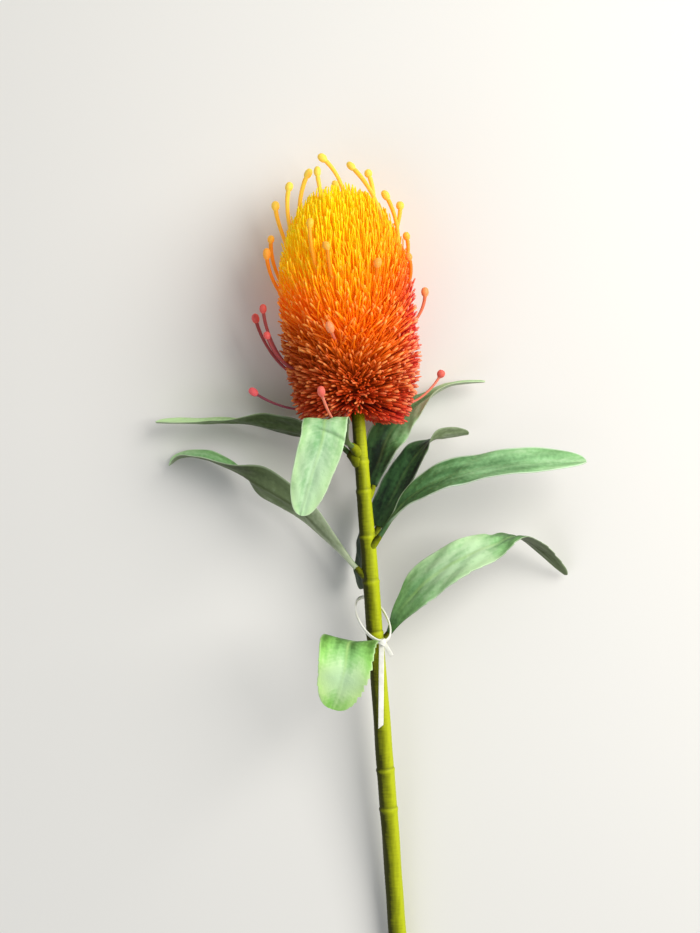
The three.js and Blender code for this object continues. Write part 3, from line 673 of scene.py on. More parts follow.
def stem_finish(stem):
    """Semi-gloss moulded plastic: lime on its right side and olive on its left as painted light and shade,
    with a painted highlight on each ring and painted shade in its grooves and on its pegs.
    """
    finish = Finish("stem_plastic", Roughness=0.5, Specular_IOR_Level=0.12)
    streaks = finish.noise(700, stretch=(1, 0.12, 1))
    wrinkles = finish.noise(900, stretch=(0.3, 1.5, 0.3))
    uneven = finish.math("ADD", streaks, finish.math("MULTIPLY", wrinkles, 0.7))
    uneven = finish.math("MULTIPLY_ADD", uneven, 0.36, -0.3)
    # The side number runs from painted shade on the stem's left to painted light on its right
    body = finish.ramp(
        finish.math("ADD", finish.number("side"), uneven),
        (0.2, stem.shade_colour), (0.52, stem.colour), (0.86, stem.light_colour),
    )
    # Painted shade in the grooves and towards each peg's leaf
    finish.set(Base_Color=finish.mix(finish.number("groove"), body, stem.shade_colour))
    relief = finish.math("ADD", finish.math("ADD", streaks, wrinkles), finish.noise(260))
    finish.bump(relief, 0.14, 0.6)
    return finish.material


def tie_finish(tie):
    """Matt white plastic film with fine creases."""
    finish = Finish("tie_plastic", Roughness=0.5)
    finish.set(Base_Color=finish.ramp(finish.noise(300), (0.3, "ececdc"), (0.6, tie.colour)))
    finish.bump(finish.noise(900), 0.08, 0.5)
    return finish.material


# The flower head


HEAD_AXIS = unit(HEAD_TOP - HEAD_FOOT)
HEAD_UP, HEAD_RIGHT = across_from(HEAD_AXIS, UP)


def head_point(radius, height, azimuth):
    """A point of the head from its distance to the axis, its height and its azimuth in degrees."""
    turn = np.radians(azimuth)
    across = HEAD_UP * (radius * np.cos(turn))[..., None] + HEAD_RIGHT * (radius * np.sin(turn))[..., None]
    return HEAD_FOOT + HEAD_AXIS * np.asarray(height)[..., None] + across


def barrel_radius(height):
    """Radius of the barrel of needle tips: R (1 - x^p)^(1/p), where x is the share of the way from the waist
    to the end, and p is 2.2 above the waist and 3 below it."""
    above = height > BARREL_WAIST
    power = np.where(above, DOME_ROUNDING, FOOT_ROUNDING)
    reach = np.where(above, BARREL_TOP - BARREL_WAIST, FOOT_DEPTH)
    share = np.abs(height - BARREL_WAIST) / reach
    return BARREL_RADIUS * np.maximum(1 - share**power, 0) ** (1 / power)


def height_share(height):
    """Share of the way from the barrel's foot to its top."""
    return np.clip((height - BARREL_FOOT) / (BARREL_TOP - BARREL_FOOT), 0, 1)


def lean_at(height):
    """How far needles lean up from level where they end at this height: from -26 to 90 degrees, in radians,
    partly in even steps with the height and partly in a soft rise."""
    share = height_share(height)
    way = (1 - LEAN_RISE) * share + LEAN_RISE * rise(0.05, 0.95, share)
    return np.radians(LEAN_AT_FOOT + (LEAN_AT_TOP - LEAN_AT_FOOT) * way)


def droop_at(height, azimuth):
    """How much lower a tip is than its row: D sin a - F, and less L cos² a on the upper side, fading out
    with height."""
    turn = np.radians(azimuth)
    droop = DROOP * np.sin(turn) - FOOT_LIFT - FRONT_LIFT * np.maximum(np.cos(turn), 0) ** 2
    return droop * fall(0, DROOP_HEIGHT, height)


def around_at(azimuth):
    """The direction round the head at this azimuth."""
    turn = np.radians(azimuth)
    return HEAD_RIGHT * np.cos(turn)[..., None] - HEAD_UP * np.sin(turn)[..., None]


def down_needle(radius, height, depth, lean):
    """The point this far down a needle from its tip: tip - depth (cos lean, sin lean)."""
    return np.stack([radius - depth * np.cos(lean), height - depth * np.sin(lean)])


def lift_onto_table(points, radius):
    """Points less than a radius above the surface are lifted to that, as the bristles there lie flat."""
    points[..., 2] = np.maximum(points[..., 2], radius)
    return points


class Outline:
    """The barrel's outline from foot to top, measured by its length and by the area that it turns."""

    def __init__(self):
        share = np.sin(np.linspace(0, np.pi / 2, OUTLINE_STEPS + 1))
        self.height = BARREL_FOOT + (BARREL_TOP - BARREL_FOOT) * share
        self.radius = barrel_radius(self.height)
        step = np.hypot(np.diff(self.height), np.diff(self.radius))
        middle = (self.radius[1:] + self.radius[:-1]) / 2
        self.length = np.concatenate([[0], np.cumsum(step)])
        self.area = np.concatenate([[0], np.cumsum(2 * np.pi * middle * step)])

    def at_length(self, share):
        """(radius, height) at this share of the outline's length."""
        place = share * self.length[-1]
        return np.interp(place, self.length, self.radius), np.interp(place, self.length, self.height)

    def spread(self, count):
        """Heights, and shares of the length, of points that are spread evenly over the barrel."""
        places = (np.arange(count) + 0.5) / count * self.area[-1]
        share = np.interp(places, self.area, self.length) / self.length[-1]
        return np.interp(places, self.area, self.height), share


def needle_grid(radius, height, azimuth, length, short, bend, sway, thickness):
    """Bent bristles. In the half plane of its azimuth each is the curve (1-t)² root + 2t(1-t) knee + t² tip.
    The knee lies back from the tip at a steeper lean, and the sway turns the bristle sideways by t². Short
    ones end that far down their own line. Those at the foot are longer, straighter, and flare out on the
    left. Those between the sides sweep outwards, as the sine of twice their azimuth."""
    share = height_share(height)
    turn = np.radians(azimuth)
    facing = np.maximum(np.cos(turn), 0) * rise(0, 0.38, share) * (1 - share)
    lean = lean_at(height) + np.radians(FRONT_LEAN) * 2 * facing
    at_foot = fall(0, FLARE_HEIGHT, height)
    length = length * (1 + FLARE_LENGTHENING * at_foot)
    loose = 1 - 0.75 * rise(0.35, 0.6, share)
    sweep = SIDE_SWEEP * np.sin(2 * turn) * loose
    radius = radius + LEFT_FLARE * np.maximum(-np.sin(turn), 0) * at_foot
    radius, height = down_needle(radius, height, short, lean)
    radius = np.maximum(radius, TIP_LEAST_RADIUS)
    length = length - short
    root = down_needle(radius, height, length, lean)
    root[0] = np.where(height < SPINE_TOP, np.maximum(root[0], SPINE_RADIUS + ROOT_GAP), root[0])
    knee = down_needle(radius, height, NEEDLE_KNEE * length, lean + np.radians(bend * rise(0, 0.25, share)))
    droop = droop_at(height, azimuth)
    root[1] -= 0.5 * droop
    knee[1] -= 0.75 * droop
    tip = np.stack([radius, height - droop])
    t = NEEDLE_PLACES[None, :]
    line = bezier([root[..., None], knee[..., None], tip[..., None]], t)
    turned = (sway * loose)[:, None] * t**2 - sweep[:, None] * (1 - t**2)
    centres = head_point(line[0], line[1], azimuth[:, None] + turned)
    radii = thickness[:, None] / 2 * NEEDLE_SWELL
    lift_onto_table(centres, radii)
    return rings(centres, radii, NEEDLE_SIDES, around_at(azimuth)[:, None])


def crimson_at(height, azimuth):
    """How crimson a bristle is: a bell about the right side, from the foot to two thirds of the height."""
    share = height_share(height)
    right = bell((azimuth + 180) % 360 - 180 - CRIMSON_AZIMUTH, CRIMSON_WIDTH)
    return right * fall(0.54, 0.66, share) * (0.5 + 0.5 * rise(0.1, 0.35, share))


def colour_height(height, azimuth):
    """The height share that a bristle's colour is taken from: lower than its own at the lower left, as
    painted shade, and at the upper right, where the warmer colours reach higher."""
    share = height_share(height)
    right = np.sin(np.radians(azimuth))
    low = np.maximum(-right, 0) * rise(0.1, 0.3, share) * fall(0.55, 0.72, share)
    high = np.maximum(right, 0) ** 2 * rise(0.45, 0.6, share)
    return share - 0.1 * low - 0.22 * high


def core_grid(outline, low, high, depth):
    """The turned core of a band. Its outer wall lies a depth below the needle tips, its ends follow the
    needles, and its inner wall is clear of the spine. The top one closes in a dome."""
    radius, height = outline.at_length(np.linspace(low, high, CORE_STEPS + 1))
    lean = lean_at(height)
    radius, height = down_needle(radius, height, depth, lean)
    height = height + CORE_LIFT * fall(0, CORE_LIFT_HEIGHT, height)
    radius = np.maximum(radius, CORE_LEAST_RADIUS)
    hole = SPINE_RADIUS + SPINE_GAP
    inner = height - (radius - hole) * np.tan(np.minimum(lean, np.radians(CORE_STEEPEST)))
    if high == 1:
        radius[-1] = CORE_LEAST_RADIUS
        radius = np.concatenate([[hole, hole], radius])
        height = np.concatenate([[SPINE_TOP + SPINE_GAP, inner[0]], height])
    else:
        radius = np.concatenate([[hole], radius, [hole]])
        height = np.concatenate([[inner[0]], height, [inner[-1]]])
    turn = np.degrees(full_turn(CORE_SIDES))
    grid = head_point(radius[:, None], np.repeat(height[:, None], CORE_SIDES, 1), turn[None, :])
    return lift_onto_table(grid, CORE_CLEARANCE), height


def style_grid(azimuth, leaves, knob_height, knob_radius, head, depth, shape):
    """A long style with its knob, as one skin. The stalk is a cubic Bezier curve that leaves the barrel with
    the needles, and is thicker the higher its knob is and thinnest half way. The knob's rings follow an
    ellipse about its end, which the shape makes wider, longer and askew by these shares of its size."""
    mouth = np.array([barrel_radius(np.maximum(leaves, BARREL_FOOT)), leaves])
    knob = np.array([knob_radius, knob_height])
    root = down_needle(mouth[0], mouth[1], depth, lean_at(mouth[1]))
    root[1] = max(root[1], SHOULDER + 0.5)
    bend = mouth + STYLE_BEND * (knob - mouth)
    bend[0] += STYLE_BULGE * np.linalg.norm(knob - mouth)
    guides = np.stack([root, mouth, bend, knob])
    guides = head_point(guides[:, 0], guides[:, 1], np.full(4, float(azimuth)))
    knob_size = head.knob_size / 2
    lift_onto_table(guides, knob_size)
    line = bezier(guides, np.linspace(0, 1, STYLE_SAMPLES)[:, None])
    lengths = lengths_along(line)
    reach = lengths[-1]
    line = np.vstack([line, line[-1] + 2 * knob_size * unit(line[-1] - line[-2])])
    lengths = np.append(lengths, reach + 2 * knob_size)
    angle = np.linspace(*np.radians(KNOB_ARC), KNOB_STEPS)
    width, tall, askew = knob_size * shape
    knob_places = reach + tall * np.cos(angle)
    places = np.concatenate([np.linspace(0, knob_places[0] - 0.5, STYLE_STEPS), knob_places])
    stalk = head.style_thickness / 2 * (0.56 + 0.56 * height_share(knob_height))
    stalk = stalk * (1.08 - 0.2 * np.sin(np.pi * places[:STYLE_STEPS] / reach))
    centres = points_at(places, lengths, line)
    tip = np.concatenate([np.linspace(0.5, 0.84, STYLE_STEPS), np.linspace(0.9, 1, KNOB_STEPS)])
    radii = np.concatenate([stalk, width * np.sin(angle) ** KNOB_ROUNDING])
    grid = rings(centres, radii, STYLE_SIDES, around_at(np.array(azimuth)))
    sideways = unit(grid[-1, 0] - centres[-1])
    lean = np.concatenate([np.zeros(STYLE_STEPS), np.linspace(0, askew, KNOB_STEPS)])
    return grid + lean[:, None, None] * sideways, tip


def build_flower_head(head):
    """Three bands of bristles and styles, each on a core of its own.

    Bristles follow a spiral of golden angles over the barrel and over the fan under it. Most are short. They
    have painted highlights at long ones' tips and painted shade at the lower left, and are thinned out at the
    front right of the foot.
    """
    outline = Outline()
    rng = np.random.default_rng(SEED)
    cell = HONEYCOMB * head.needle_spacing**2
    height, share = outline.spread(int(outline.area[-1] / cell))
    fan = FOOT_RADIUS**2 - FAN_INNER_RADIUS**2
    fan_radius = np.sqrt(FAN_INNER_RADIUS**2 + fan * np.linspace(0, 1, int(np.pi * fan / cell)))
    radius = np.concatenate([barrel_radius(height), fan_radius])
    height = np.concatenate([height, BARREL_FOOT + FAN_RISE * (1 - fan_radius / FOOT_RADIUS)])
    share = np.concatenate([share, np.zeros(len(fan_radius))])
    count = len(height)
    wobble = rng.normal(0, 1, (6, count)).clip(-2, 2) * NEEDLE_WOBBLE[:, None]
    chance = rng.random(count)
    height = np.minimum(height + wobble[0], BARREL_TOP - 0.05)
    radius = np.maximum(radius + wobble[1], TIP_LEAST_RADIUS)
    azimuth = (np.arange(count) * GOLDEN_ANGLE) % 360 + wobble[2]
    length = head.needle_length * (1 + wobble[3])
    is_short = rng.random(count) < SHORT_SHARE
    short = np.where(is_short, rng.uniform(*SHORT_BY, count), 0)
    fineness = np.where(is_short, SHORT_THICKNESS, 1) * (1 - UPPER_THINNING * rise(0.35, 0.6, share))
    thickness = head.needle_thickness * (0.85 + 0.3 * chance) * fineness
    right, front = np.sin(np.radians(azimuth)), np.cos(np.radians(azimuth))
    pink = crimson_at(height, azimuth)
    bare_line = bell((azimuth + 188) % 360 - 180, 8) * fall(0.3, 0.5, share)
    at_right_foot = rise(0.1, 0.4, right) * fall(0.02, 0.1, share)
    # How strong the painted highlights on the tips are: weaker along the front line low down and at the right
    # foot, stronger on crimson ones
    pale = np.where(is_short, SHORT_TIP_HIGHLIGHT, LONG_TIP_HIGHLIGHT + LONG_TIP_HIGHLIGHT_RANGE * chance)
    pale = pale * (1 - UPPER_TIP_HIGHLIGHT_LOSS * rise(0.42, 0.62, share))
    pale = pale * (1 + 0.4 * pink) * (1 - 0.7 * bare_line) * (1 - 0.6 * at_right_foot)
    # Painted shade on the head's lower left
    dark = LEFT_SHADE * np.maximum(-right, 0) * fall(0.25, 0.55, share)
    parting = PARTING * rise(0.1, 0.4, right) * rise(0, 0.25, front) * fall(0.03, 0.1, share)
    shown = ((share > 0) | (front < 0.8)) & (chance >= parting * (share > 0.012))
    values = (radius, height, azimuth, length, short, head.needle_bend + wobble[4], wobble[5], thickness)
    tones = dict(height=colour_height(height, azimuth), chance=chance, pale=pale, pink=pink, shade=dark)
    depth = head.needle_length * CORE_DEPTH
    for name, slot, low, high in BANDS:
        band = Shape()
        here = (share >= low) & (share < high) & shown
        grid = needle_grid(*(value[here] for value in values))
        numbers = {key: value[here][:, None, None] for key, value in tones.items()}
        band.add(grid, tip=NEEDLE_PLACES[None, :, None], style=0.0, **numbers)
        grid, core_height = core_grid(outline, low, high, depth)
        # The cores take the dark root colour, partly painted shade between the bristles
        numbers = dict(height=height_share(core_height)[:, None], tip=0.2, chance=0.5)
        band.add(grid, loop=high < 1, pale=0.0, pink=0.0, shade=0.0, style=0.0, **numbers)
        low_height, high_height = outline.at_length(low)[1], outline.at_length(high)[1]
        in_band = (STYLES[:, 1] < high_height) & ((STYLES[:, 1] >= low_height) | (low == 0))
        for style in STYLES[in_band]:
            shape = np.array([rng.uniform(*limits) for limits in KNOB_SHAPES])
            grid, tip = style_grid(*style, head, depth, shape)
            foot, top = height_share(style[1]), height_share(style[2])
            numbers = dict(height=(foot + (top - foot) * tip * 0.6)[:, None], tip=tip[:, None])
            pink = 0.0 if -100 < style[0] < -60 else 1.0
            band.add(grid, pink=pink, chance=0.5, pale=0.0, shade=0.0, style=1.0, **numbers)
        band.make(name + "_bristles", needle_finish(slot, head), name)


# The stem


def stem_radius(share, stem):
    """Half the stem's thickness at a share of its length: it tapers as the mean of x and x to the fifth."""
    taper = (stem.neck_thickness - stem.foot_thickness) * (share + share**5) / 2
    return (stem.foot_thickness + taper) / 2


def build_stem(stem):
    """The moulded stem with its rings and grooves, the spine in the head, and a peg for each leaf.

    To its tapering radius come a bell at each ring, less a bell at its groove, a slow swelling under the ring
    and waves along it. Waves round it make it lumpy. A peg is the curve (1-t)² start + 2t(1-t) knee + t² end.
    """
    shape = Shape()
    shares = np.linspace(0, 1, STEM_STEPS + 1)
    centres = even_points(STEM_LINE, shares)
    length = lengths_along(centres)[-1]
    away = (shares[:, None] - np.array(STEM_RINGS)) * length
    ring = bell(away, RING_WIDTH).sum(1)
    groove = bell(away - GROOVE_PLACE, GROOVE_WIDTH).sum(1)
    swelling = (rise(SWELLING_START, 0, away) * fall(0, SWELLING_END, away)).sum(1)
    wrinkles = sum(high * np.sin(shares * length * waves + phase) for high, waves, phase in STEM_WRINKLES)
    radii = stem_radius(shares, stem) + stem.ring_height * ring - GROOVE_DEPTH * groove
    radii = radii + SWELLING_HEIGHT * swelling + wrinkles
    radii[0] -= CUT_BEVEL
    spine = head_point(np.zeros(3), np.array([SHOULDER, SHOULDER + 0.1, SPINE_TOP]), np.zeros(3))
    centres = np.vstack([centres, spine])
    radii = np.concatenate([radii, [stem.neck_thickness / 2, SPINE_RADIUS, SPINE_RADIUS]])
    ring, groove = (np.append(values, np.zeros(3))[:, None] for values in (ring, groove))
    turn = full_turn(STEM_SIDES)
    phases = np.random.default_rng(SEED + 1).random(len(STEM_LUMPS)) * 2 * np.pi
    lumps = sum(
        high * np.sin(around * turn + phase + centres[:, 1:2] / along)
        for (high, around, along), phase in zip(STEM_LUMPS, phases)
    )
    lumps[STEM_STEPS + 1 :] = 0
    grid = rings(centres, radii, STEM_SIDES)
    outward = unit(grid - centres[:, None])
    grid = lift_onto_table(grid + outward * lumps[..., None], 0.0)
    # Painted light and shade: the side number is higher on the stem's right side and lower on its left, with
    # a painted highlight on each ring
    side = 0.5 + 0.5 * outward[..., 0] + RING_PAINTED_HIGHLIGHT * ring
    # Painted shade in each groove
    shape.add(grid, side=side, groove=groove * GROOVE_PAINTED_SHADE)
    fine = even_points(STEM_LINE, np.linspace(0, 1, PEG_SEARCH_STEPS + 1))
    steps = np.linspace(0, 1, PEG_STEPS + 1)[:, None]
    for leaf in LEAVES.values():
        foot, ahead = spline(leaf.midrib, [0, 0.001])
        way = unit(ahead - foot)
        start = fine[np.argmin(np.linalg.norm(fine - foot + [0, PEG_DROP, 0], axis=1))]
        knee = foot - way * PEG_KNEE * np.linalg.norm(foot - start)
        line = bezier([start, knee, foot + way * PEG_OVERLAP], steps)
        grid = rings(line, np.interp(steps[:, 0], PEG_PLACES, PEG_RADII) * leaf.peg, PEG_SIDES)
        outward = unit(grid - line[:, None])
        # Painted light and shade on each peg: lighter on its right side and where it leaves the stem, and
        # painted shade towards its leaf
        shape.add(grid, side=0.62 - 0.3 * steps + 0.35 * outward[..., 0], groove=0.3 * steps)
    shape.make("stem_moulding", stem_finish(stem), "stem")


# Leaves


def leaf_half_width(leaf, share):
    """Half width at a share of the length: a petiole, a swelling blade, a rounded tip and slow scallops."""
    stalk = PETIOLE_RADIUS + (TIP_HALF_WIDTH - PETIOLE_RADIUS) * share
    rounded = np.maximum(1 - share**leaf.tip, 0) ** TIP_ROUNDING
    phase = EDGE_SCALLOPS * 2 * np.pi * share + leaf.half_width
    blade = rise(*leaf.swell, share) * rounded * (1 + EDGE_SCALLOP_SHARE * np.sin(phase))
    return stalk + (leaf.half_width - PETIOLE_RADIUS) * blade


def leaf_veins(share, across, half_width):
    """How strongly a vein shows: the midrib is a bell about the middle, and the side veins are bells about
    lines that run from it towards the edge and the tip, fading before the edge."""
    middle = bell(across * half_width, 0.45 + 0.35 * (1 - share))
    phase = SIDE_VEINS * share - VEIN_SLOPE * np.abs(across) ** 1.3 + 0.25 * np.sign(across)
    phase = phase + 0.5 * np.sin(11 * share + 2 * across) + 0.2 * np.sin(43 * share - 3 * across)
    fade = rise(0.1, 0.3, share) * fall(0.9, 1.0, share) * fall(0.5, 0.95, np.abs(across))
    return middle, bell(np.abs(phase % 1 - 0.5), VEIN_WIDTH) * fade


def both_faces(above, below):
    """Numbers of the upper face from left to right, and of the lower face back again."""
    return np.concatenate([above, below[:, ::-1]], 1)


def leaf_grid(leaf, settings, rng):
    """A blade as rings: across its upper face from left to right, and back across its lower face.

    The middle layer is midrib + side t w + up (fold |t|^1.4 w + wave), where t runs from -1 to 1 and w is the
    half width. Each face lies half a thickness from it, and veins press both faces the same way.
    """
    share = 1 - (1 - np.linspace(0, 1, LEAF_STEPS + 1)) ** LEAF_STEP_POWER
    guides, delta = leaf.midrib, 1e-4
    along = unit(spline(guides, share + delta) - spline(guides, share - delta))
    centre = spline(guides, share - PETIOLE_REACH * fall(0, 0.1, share))
    up, side = across_from(along, spline(leaf.face, share))
    across = np.linspace(-1, 1, LEAF_COLUMNS + 1)[None, :]
    across = (across + np.sin(np.pi / 2 * across)) / 2
    share = share[:, None]
    width = leaf_half_width(leaf, share)
    place = TEETH * share + rng.random()
    depths = rng.uniform(*TOOTH_DEPTHS, (2, TEETH + 2))[:, place.astype(int)]
    teeth = np.where(across < 0, leaf.teeth[0] * depths[0], leaf.teeth[1] * depths[1])
    edge = np.abs(across) ** 6 * rise(0.15, 0.35, share) * fall(0.85, 1, share)
    reach = across * (width - teeth * (1 - place % 1) * edge)
    fold = np.abs(across) ** FOLD_POWER * np.sin(np.radians(leaf.fold)) * width
    phase = EDGE_WAVES * 2 * np.pi * share + across + leaf.half_width
    wave = EDGE_WAVE_HEIGHT * across**2 * np.sin(phase) * rise(*EDGE_WAVES_START, share)
    midrib, veins = leaf_veins(share, across, width)
    blade = rise(0.08, 0.25, share)
    press = (midrib - TROUGH_DEPTH * bell(across * width, TROUGH_WIDTH)) * blade
    press = press + SIDE_VEIN_HEIGHT * veins
    crease_place, slant, start = leaf.crease
    crease = bell(share - crease_place - slant * across, CREASE_WIDTH) * rise(start, start + 0.3, -across)
    phases = rng.random(len(RIPPLES)) * 2 * np.pi
    ripple = sum(
        high * np.sin(along_it * share + across_it * across + phase) * np.abs(across) ** power
        for (high, along_it, across_it, power), phase in zip(RIPPLES, phases)
    )
    uneven = wave + leaf.crumple * ripple * blade
    lift = fold + uneven * width / leaf.half_width + settings.vein_height * press - CREASE_DEPTH * crease
    middle = centre[:, None] + side[:, None] * reach[..., None] + up[:, None] * lift[..., None]
    outward = unit(np.cross(unit(np.gradient(middle, axis=1)), along[:, None]))
    thin = EDGE_THICKNESS + (1 - EDGE_THICKNESS) * np.sqrt(1 - across**8)
    thin = settings.thickness / 2 * thin
    half = thin + (PETIOLE_RADIUS - thin) * fall(0, PETIOLE_SHARE, share) * (1 - across**2)
    grid = both_faces(middle + outward * half[..., None], middle - outward * half[..., None])
    places = np.linspace(0, 1, 5)
    pale, under, warm, rib = (
        np.interp(share, places, values) for values in (leaf.pale, leaf.under, leaf.warm, leaf.rib)
    )
    # Painted light on the lit right half
    pale = pale + leaf.painted_lit_half * rise(0.02, 0.25, across) * rise(0.15, 0.35, share)
    numbers = dict(
        pale=(pale, under),
        warm=warm + leaf.edge_warm * across**2,
        rib=rib * midrib * blade,
        vein=veins,
        rim=leaf.rim * rise(0, RIM_SOFTNESS, np.abs(across) * width - width + RIM_WIDTH) * blade,
        upper=(1.0, 0.0),
        # Painted shade in the crease
        groove=0.5 * crease,
        along=share * 0.1 + rng.random(),
        beside=across * width * MM,
    )
    for name, value in numbers.items():
        above, below = value if isinstance(value, tuple) else (value, value)
        numbers[name] = both_faces(*(np.broadcast_to(x, half.shape) for x in (above, below)))
    return grid, numbers


def build_leaves(settings):
    """Nine leaves of one finish."""
    material = leaf_finish(settings)
    for number, (name, leaf) in enumerate(LEAVES.items()):
        grid, numbers = leaf_grid(leaf, settings, np.random.default_rng(SEED + 10 + number))
        shape = Shape()
        shape.add(grid, **numbers)
        shape.make(name + "_blade", material, name)


# The tie


def strip_grid(centres, wanted, width, thickness):
    """A flat strip along a line: its section is the superellipse (|x/a|^5 + |y/b|^5 = 1)."""
    first, second = across_from(directions(centres), wanted)
    turn = full_turn(STRIP_SIDES)[:, None]
    x, y = (np.sign(wave) * np.abs(wave) ** (2 / 5) for wave in (np.cos(turn), np.sin(turn)))
    return centres[:, None] + first[:, None] * x * width / 2 + second[:, None] * y * thickness / 2


def build_tie(tie):
    """The loop round the stem, the knot, the long tail with its slanted end and the short end."""
    shape = Shape()
    middle = (TIE_FRONT + TIE_BACK) / 2
    forward = TIE_FRONT - middle
    turn = np.linspace(TIE_OPENING, 2 * np.pi - TIE_OPENING, LOOP_RINGS)[:, None]
    loop = middle + forward * np.cos(turn) + RIGHT * TIE_HALF_WIDTH * np.sin(turn)
    shape.add(strip_grid(loop, np.cross(RIGHT, forward), tie.width, tie.thickness))
    shares = np.linspace(0, 1, TAIL_RINGS)
    tail = strip_grid(spline(TAIL_LINE, shares), RIGHT, tie.width, tie.thickness)
    across = np.sum((tail - tail.mean(1, keepdims=True)) * RIGHT, -1)
    tail[..., 1] += rise(0.9, 1.0, shares)[:, None] * (across / tie.width + 0.5) * TAIL_SLANT
    shape.add(tail)
    short_end = spline(SHORT_END_LINE, np.linspace(0, 1, SHORT_END_RINGS))
    shape.add(strip_grid(short_end, RIGHT, tie.width * SHORT_END_SHARE, tie.thickness))
    turn = full_turn(WRAP_RINGS)[:, None]
    for lean, reach in KNOT_WRAPS:
        axis = unit(np.array([lean, -1, -0.1]))
        first, second = across_from(axis, UP)
        wrap = first * KNOT_RADII[0] * np.cos(turn) + second * KNOT_RADII[1] * np.sin(turn)
        wrap = wrap + TIE_FRONT + axis * reach
        shape.add(strip_grid(np.vstack([wrap[-1:], wrap, wrap[:1]]), axis, *KNOT_STRIP)[1:-1], loop=True)
    shape.make("tie_strip", tie_finish(tie), "tie")


# The stage


def build_stage(stage):
    """A pale floor, soft lights and the camera that looks straight down."""
    scene = bpy.context.scene
    scene.view_settings.view_transform = "Standard"
    bpy.ops.mesh.primitive_plane_add(size=stage.floor_size, location=(0, 0, 0))
    floor = bpy.context.object
    floor.name = "floor"
    finish = Finish("pale_floor", Roughness=0.85, Base_Color=stage.floor_colour)
    floor.data.materials.append(finish.material)
    world = bpy.data.worlds.new("soft_room")
    world.use_nodes = True
    background = world.node_tree.nodes["Background"]
    background.inputs["Color"].default_value = (0.93, 0.96, 1, 1)
    background.inputs["Strength"].default_value = stage.room_light
    scene.world = world
    lights = [
        ("key_light", (0.62, 0.36, 0.7), 0.75, stage.key_light, (1, 0.97, 0.92)),
        ("fill_light", (-0.5, -0.5, 0.8), 0.8, stage.fill_light, (0.96, 0.98, 1)),
    ]
    target = np.array([0, 0.06, 0.02])
    for name, place, size, power, colour in lights:
        lamp = bpy.data.lights.new(name, "AREA")
        lamp.size, lamp.energy, lamp.color = size, power, colour
        light = bpy.data.objects.new(name, lamp)
        scene.collection.objects.link(light)
        light.location = place
        light.rotation_euler = Vector(target - np.array(place)).to_track_quat("-Z", "Y").to_euler()
    camera = bpy.data.cameras.new("camera")
    camera.sensor_width = 36
    camera.lens = stage.lens
    camera.clip_start, camera.clip_end = 0.05, 10
    viewer = bpy.data.objects.new("camera", camera)
    scene.collection.objects.link(viewer)
    viewer.location = stage.camera_place
    scene.camera = viewer


# Settings


def amount(name, description, default, **kinds):
    """A number in the panel."""
    return bpy.props.FloatProperty(name=name, description=description, default=default, min=0.001, **kinds)


def size(name, description, default):
    """A size in the panel, in millimetres."""
    return amount(name, description + ", in millimetres", default)


def colour(name, description, code):
    """A colour in the panel, from its six-digit screen code."""
    return bpy.props.FloatVectorProperty(
        name=name, description=description, subtype="COLOR", size=3, min=0, max=1, default=colour_from(code)
    )


class ProteaStemSettings(bpy.types.PropertyGroup):
    """Sizes and colours of the stem."""

    foot_thickness: size("Foot thickness", "Thickness at the cut end", 8.0)
    neck_thickness: size("Neck thickness", "Thickness under the flower head", 5.6)
    ring_height: size("Ring height", "How far the rings stand out", 0.24)
    colour: colour("Colour", "Main colour", "868e0c")
    # The light colour is painted light on the stem's right side, and the shade colour is painted shade on its
    # left side and in its grooves
    light_colour: colour("Light colour", "Colour of the right side", "bac41c")
    shade_colour: colour("Shade colour", "Colour of the left side and of the grooves", "3a3c06")


class ProteaHeadSettings(bpy.types.PropertyGroup):
    """Sizes and colours of the flower head."""

    needle_spacing: size("Needle spacing", "Distance between bristle tips", 1.7)
    needle_thickness: size("Needle thickness", "Thickness of a bristle's tip", 0.95)
    needle_length: size("Needle length", "Length of a bristle", 17.0)
    needle_bend: amount("Needle bend", "How far bristles bend upwards, in degrees", 14.0)
    style_thickness: size("Style thickness", "Thickness of a long style", 1.75)
    knob_size: size("Knob size", "Width of a style's knob", 3.5)
    foot_colour: colour("Foot colour", "Bristles at the foot", "d03814")
    low_colour: colour("Low colour", "Bristles a quarter of the way up", "cc5408")
    middle_colour: colour("Middle colour", "Bristles half way up", "ff7c00")
    high_colour: colour("High colour", "Bristles two thirds of the way up", "ffb800")
    top_colour: colour("Top colour", "Bristles at the top", "ffda00")
    # The three tip colours and the side tip colour are painted highlights on the bristles' tips
    low_tip_highlight_colour: colour("Low tip colour", "Tips at the foot", "f08a58")
    middle_tip_highlight_colour: colour("Middle tip colour", "Tips half way up", "ffa850")
    top_tip_highlight_colour: colour("Top tip colour", "Tips at the top", "ffe84c")
    side_colour: colour("Side colour", "Bristles on the right side", "d41a30")
    side_tip_highlight_colour: colour("Side tip colour", "Tips on the right side", "ff9a88")


class ProteaLeafSettings(bpy.types.PropertyGroup):
    """Sizes and colours of the leaves."""

    thickness: size("Thickness", "Thickness of a blade", 0.55)
    vein_height: size("Vein height", "Height of the midrib's relief", 0.3)
    vein_contrast: amount("Vein contrast", "How much paler the veins are, from 0 to 1", 0.05)
    rim_strength: amount("Rim strength", "How much paler the rim is, from 0 to 1", 0.75)
    dark_colour: colour("Dark colour", "Darkest green of the upper face", "162a20")
    middle_colour: colour("Middle colour", "Middle green of the upper face", "50804c")
    light_colour: colour("Light colour", "Light green of the upper face", "8cc086")
    pale_colour: colour("Pale colour", "Palest green of the upper face", "c4e8ba")
    under_dark_colour: colour("Dark underside", "Darkest green of the lower face", "2e3c12")
    under_colour: colour("Underside", "Middle green of the lower face", "66784c")
    rim_colour: colour("Rim colour", "Rim of the upper face", "c8e8a4")


